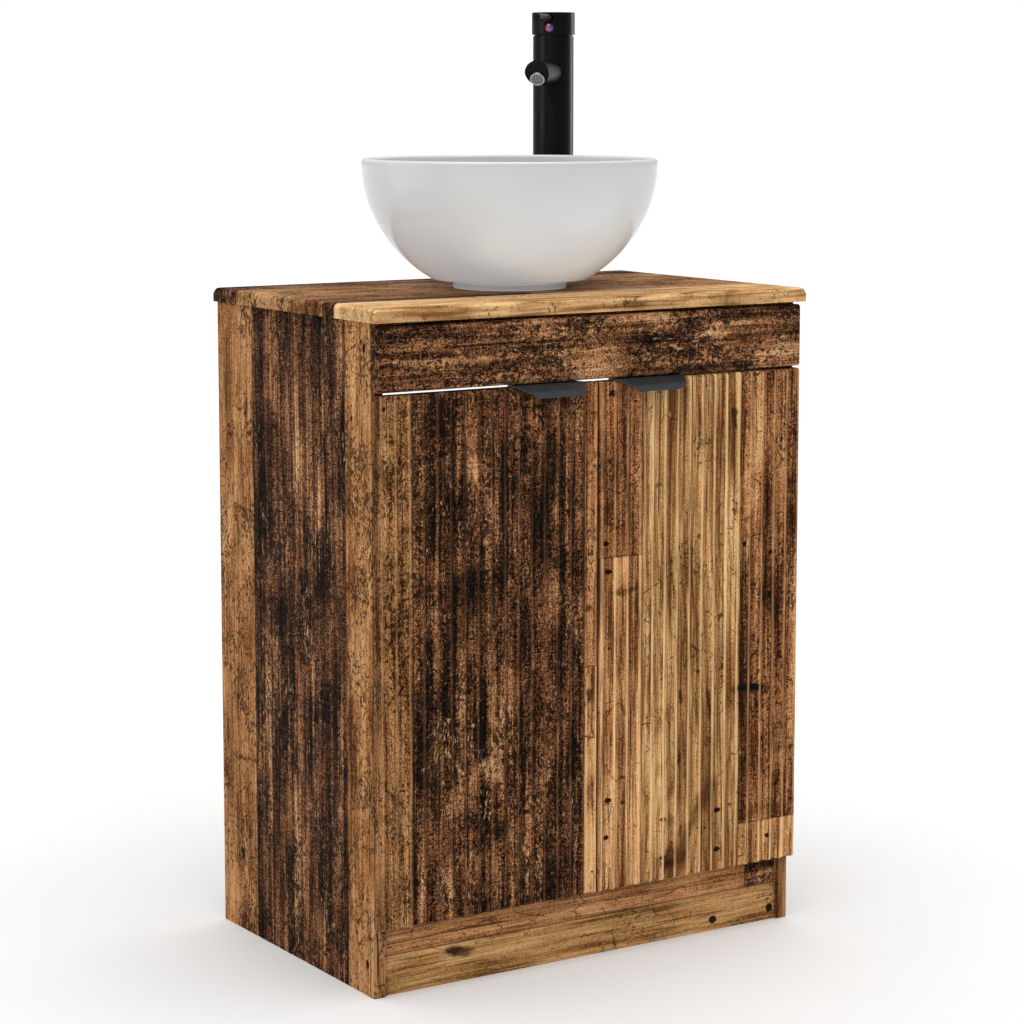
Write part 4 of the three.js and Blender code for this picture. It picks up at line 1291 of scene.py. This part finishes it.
def make_column():
    ring = [(RING_BORE, GAP)] + arc(TAP_RADIUS + 1.6, GAP + 0.8, 0.8, -90, 0, 4)
    ring += arc(TAP_RADIUS + 1.0, RING_TOP - 1.4, 1.4, 0, 90, 5)
    ring += [(RING_BORE, RING_TOP), ring[0]]
    foot = lathe("tap_foot_ring", ring, TAP_BLACK, 128, tap_matrix())
    settle(foot, "carcass", "tap_black", "tap_base_ring")

    low = RING_TOP + GAP
    top = CAP_LOW - GAP
    column = [(0, low), (TAP_RADIUS - 0.4, low), (TAP_RADIUS, low + 0.4)]
    for share, depth in ((-1, 0), (-0.5, GROOVE_DEPTH), (0.5, GROOVE_DEPTH), (1, 0)):
        column.append((TAP_RADIUS - depth, GROOVE_LEVEL + share * GROOVE_HALF))
    column += arc(TAP_RADIUS - 0.9, TAP_BODY_TOP - 0.9, 0.9, 0, 90, 5)
    column += [(TAP_NECK_RADIUS, TAP_BODY_TOP), (TAP_NECK_RADIUS, top), (0, top)]
    body = lathe("tap_tall_column", column, TAP_BLACK, 128, tap_matrix())
    settle(body, "carcass", "tap_black", "tap_column")


def make_lever():
    """The lever's head, its pin and the dot in front, which all ride on the lever's body."""
    cap = [(CAP_HOLLOW, CAP_LOW)] + arc(CAP_RADIUS - 0.7, CAP_LOW + 0.7, 0.7, -90, 0, 4)
    cap += arc(CAP_RADIUS - 1.0, TAP_TOTAL - 1.0, 1.0, 0, 90, 6)
    cap += [(0, TAP_TOTAL), (0, CAP_HOLLOW_TOP), (CAP_HOLLOW, CAP_HOLLOW_TOP), cap[0]]
    head = baked(lathe("lever_head", cap, TAP_BLACK, 128, tap_matrix()))
    for inner, radius, level in (
        (LEVER_ROOT - GAP, LEVER_RADIUS + GAP, LEVER_LEVEL),
        (DOT_BACK - 0.4, DOT_RADIUS + GAP, DOT_LEVEL),
    ):
        hole = [(0, inner), (radius, inner), (radius, 40), (0, 40)]
        cut_away(head, lathe("tool", hole, TAP_BLACK, 72, tap_matrix(0, level, 90)))
    settle(head, "tap_lever", "tap_black", "tap_lever_cap")

    rod = [(0, LEVER_ROOT), (LEVER_RADIUS, LEVER_ROOT), (LEVER_RADIUS, SPOUT_REACH - 0.8)]
    rod += arc(LEVER_RADIUS - 0.8, SPOUT_REACH - 0.8, 0.8, 0, 90, 5) + [(0, SPOUT_REACH)]
    pin = lathe("lever_pin", rod, TAP_BLACK, 64, tap_matrix(0, LEVER_LEVEL, 90))
    settle(pin, "tap_lever", "tap_black", "tap_lever_rod")

    dot = [(0, DOT_BACK), (DOT_RADIUS, DOT_BACK)]
    dot += dome(DOT_RADIUS, DOT_FACE, DOT_DOME, (0, 15, 30, 45, 60, 75))
    dot += [(0, DOT_FACE + DOT_DOME)]
    button = lathe("hot_cold_dot", dot, INDICATOR, 64, tap_matrix(0, DOT_LEVEL, 90))
    settle(button, "tap_lever", "indicator_enamel", "tap_indicator")


# Studio ----------

BACKDROP = 1.02  # how bright the world looks
AMBIENT = 0.62   # how much light it gives
OVERHEAD = 1.6
KEY = 1.2
# Lamps that only the bowl sees: from below, from above and from behind on the left.
BOWL_LAMPS = [
    ("bowl_lift", (-0.3, -0.5, -1.7), 43.0, (0.90, 0.97, 1.0)),
    ("bowl_fill", (0.0, 0.6, 3.2), 32.0, (1.0, 1.0, 1.0)),
    ("bowl_side", (-2.5, 1.2, 0.9), 13.0, (1.0, 1.0, 1.0)),
]
BOWL_LAMP_SIZE = (2.0, 2.0)
BOWL_TARGET = (0, 0, 0.85)
# Upright strips that only the tap sees.
TAP_STRIPS = [("right_strip", (2.6, 0.3, 1.6), 45.0), ("left_strip", (-2.4, 0.6, 1.6), 40.0)]
STRIP_SIZE = (0.5, 2.4)
TAP_TARGET = (0.1, 0, 0.9)


def make_floor():
    half = 30.0
    floor = finish_mesh(
        "studio_floor",
        [(-half, -half, 0), (half, -half, 0), (half, half, 0), (-half, half, 0)],
        [[0, 1, 2, 3]],
        [],
    )
    g = Graph("studio_floor")
    cloud = g.noise(g.place, 3.0, 3.0)
    g.set("Base Color", g.ramp(cloud, [(0.3, (0.93, 0.93, 0.93, 1)), (0.7, (0.95, 0.95, 0.95, 1))]))
    g.set("Roughness", 0.9)
    g.set("Specular IOR Level", 0.0)
    floor.data.materials.append(g.material)
    floor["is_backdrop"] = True


def aimed(light, place, target):
    """Puts a light in the scene at a place, turned to its target."""
    light.location = place
    light.rotation_euler = (Vector(target) - Vector(place)).to_track_quat("-Z", "Y").to_euler()
    bpy.context.scene.collection.objects.link(light)


def area_light(name, place, size, power, target):
    data = bpy.data.lights.new(name, "AREA")
    data.shape = "RECTANGLE"
    data.size, data.size_y = size
    data.energy = power
    lamp = bpy.data.objects.new(name, data)
    aimed(lamp, place, target)
    return lamp


def group_of(name, pieces, state="INCLUDE"):
    """A collection for light linking, which includes or excludes all of its pieces."""
    group = bpy.data.collections.new(name)
    for piece in pieces:
        group.objects.link(piece)
    for member in group.collection_objects:
        member.light_linking.link_state = state
    return group


def sun_light(name, place, target, strength, angle):
    """A light from far off, softened over an angle in degrees."""
    data = bpy.data.lights.new(name, "SUN")
    data.energy = strength
    data.angle = math.radians(angle)
    lamp = bpy.data.objects.new(name, data)
    aimed(lamp, place, target)
    return lamp


def make_studio():
    make_floor()
    world = bpy.data.worlds.new("studio")
    world.use_nodes = True
    tree = world.node_tree
    background = tree.nodes["Background"]
    background.inputs["Color"].default_value = (1, 1, 1, 1)
    path = tree.nodes.new("ShaderNodeLightPath")
    strength = tree.nodes.new("ShaderNodeMapRange")
    strength.inputs["To Min"].default_value = AMBIENT
    strength.inputs["To Max"].default_value = BACKDROP
    tree.links.new(path.outputs["Is Camera Ray"], strength.inputs["Value"])
    tree.links.new(strength.outputs["Result"], background.inputs["Strength"])
    bpy.context.scene.world = world

    bowl = [bpy.data.objects["basin_bowl"]]
    floor = [bpy.data.objects["studio_floor"]]
    tap = [o for o in bpy.data.objects if o.name.startswith(("tap_", "lever_"))]
    sun_light("overhead", (0, 0, 4), (0, 0.3, 0), OVERHEAD, 70)
    key = sun_light("key", (-2.9, -2.2, 2.1), (0, 0, 0.6), KEY, 25)
    key.light_linking.receiver_collection = group_of("not_for_key", bowl + floor, "EXCLUDE")
    for name, place, power, colour in BOWL_LAMPS:
        lamp = area_light(name, place, BOWL_LAMP_SIZE, power, BOWL_TARGET)
        lamp.data.color = colour
        lamp.light_linking.receiver_collection = group_of(name + "_bowl", bowl)
        lamp.light_linking.blocker_collection = group_of(name + "_shade", bowl)
    for name, place, power in TAP_STRIPS:
        strip = area_light(name, place, STRIP_SIZE, power, TAP_TARGET)
        strip.light_linking.receiver_collection = group_of(name + "_tap", tap)
    bpy.context.scene.view_settings.view_transform = "Standard"
    bpy.context.scene.view_settings.look = "None"


# Assembly ----------

for side_name in ("left", "right"):
    make_door(side_name)
    make_side_panel(side_name)
make_front_boards()
make_countertop()
keep_nodes()
make_basin()
make_column()
make_spout()
make_aerator()
make_lever()
make_studio()

sizes = {"cad": CAD_BOX, "visual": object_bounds()}
{name: [list(corner) for corner in box] for name, box in sizes.items()}
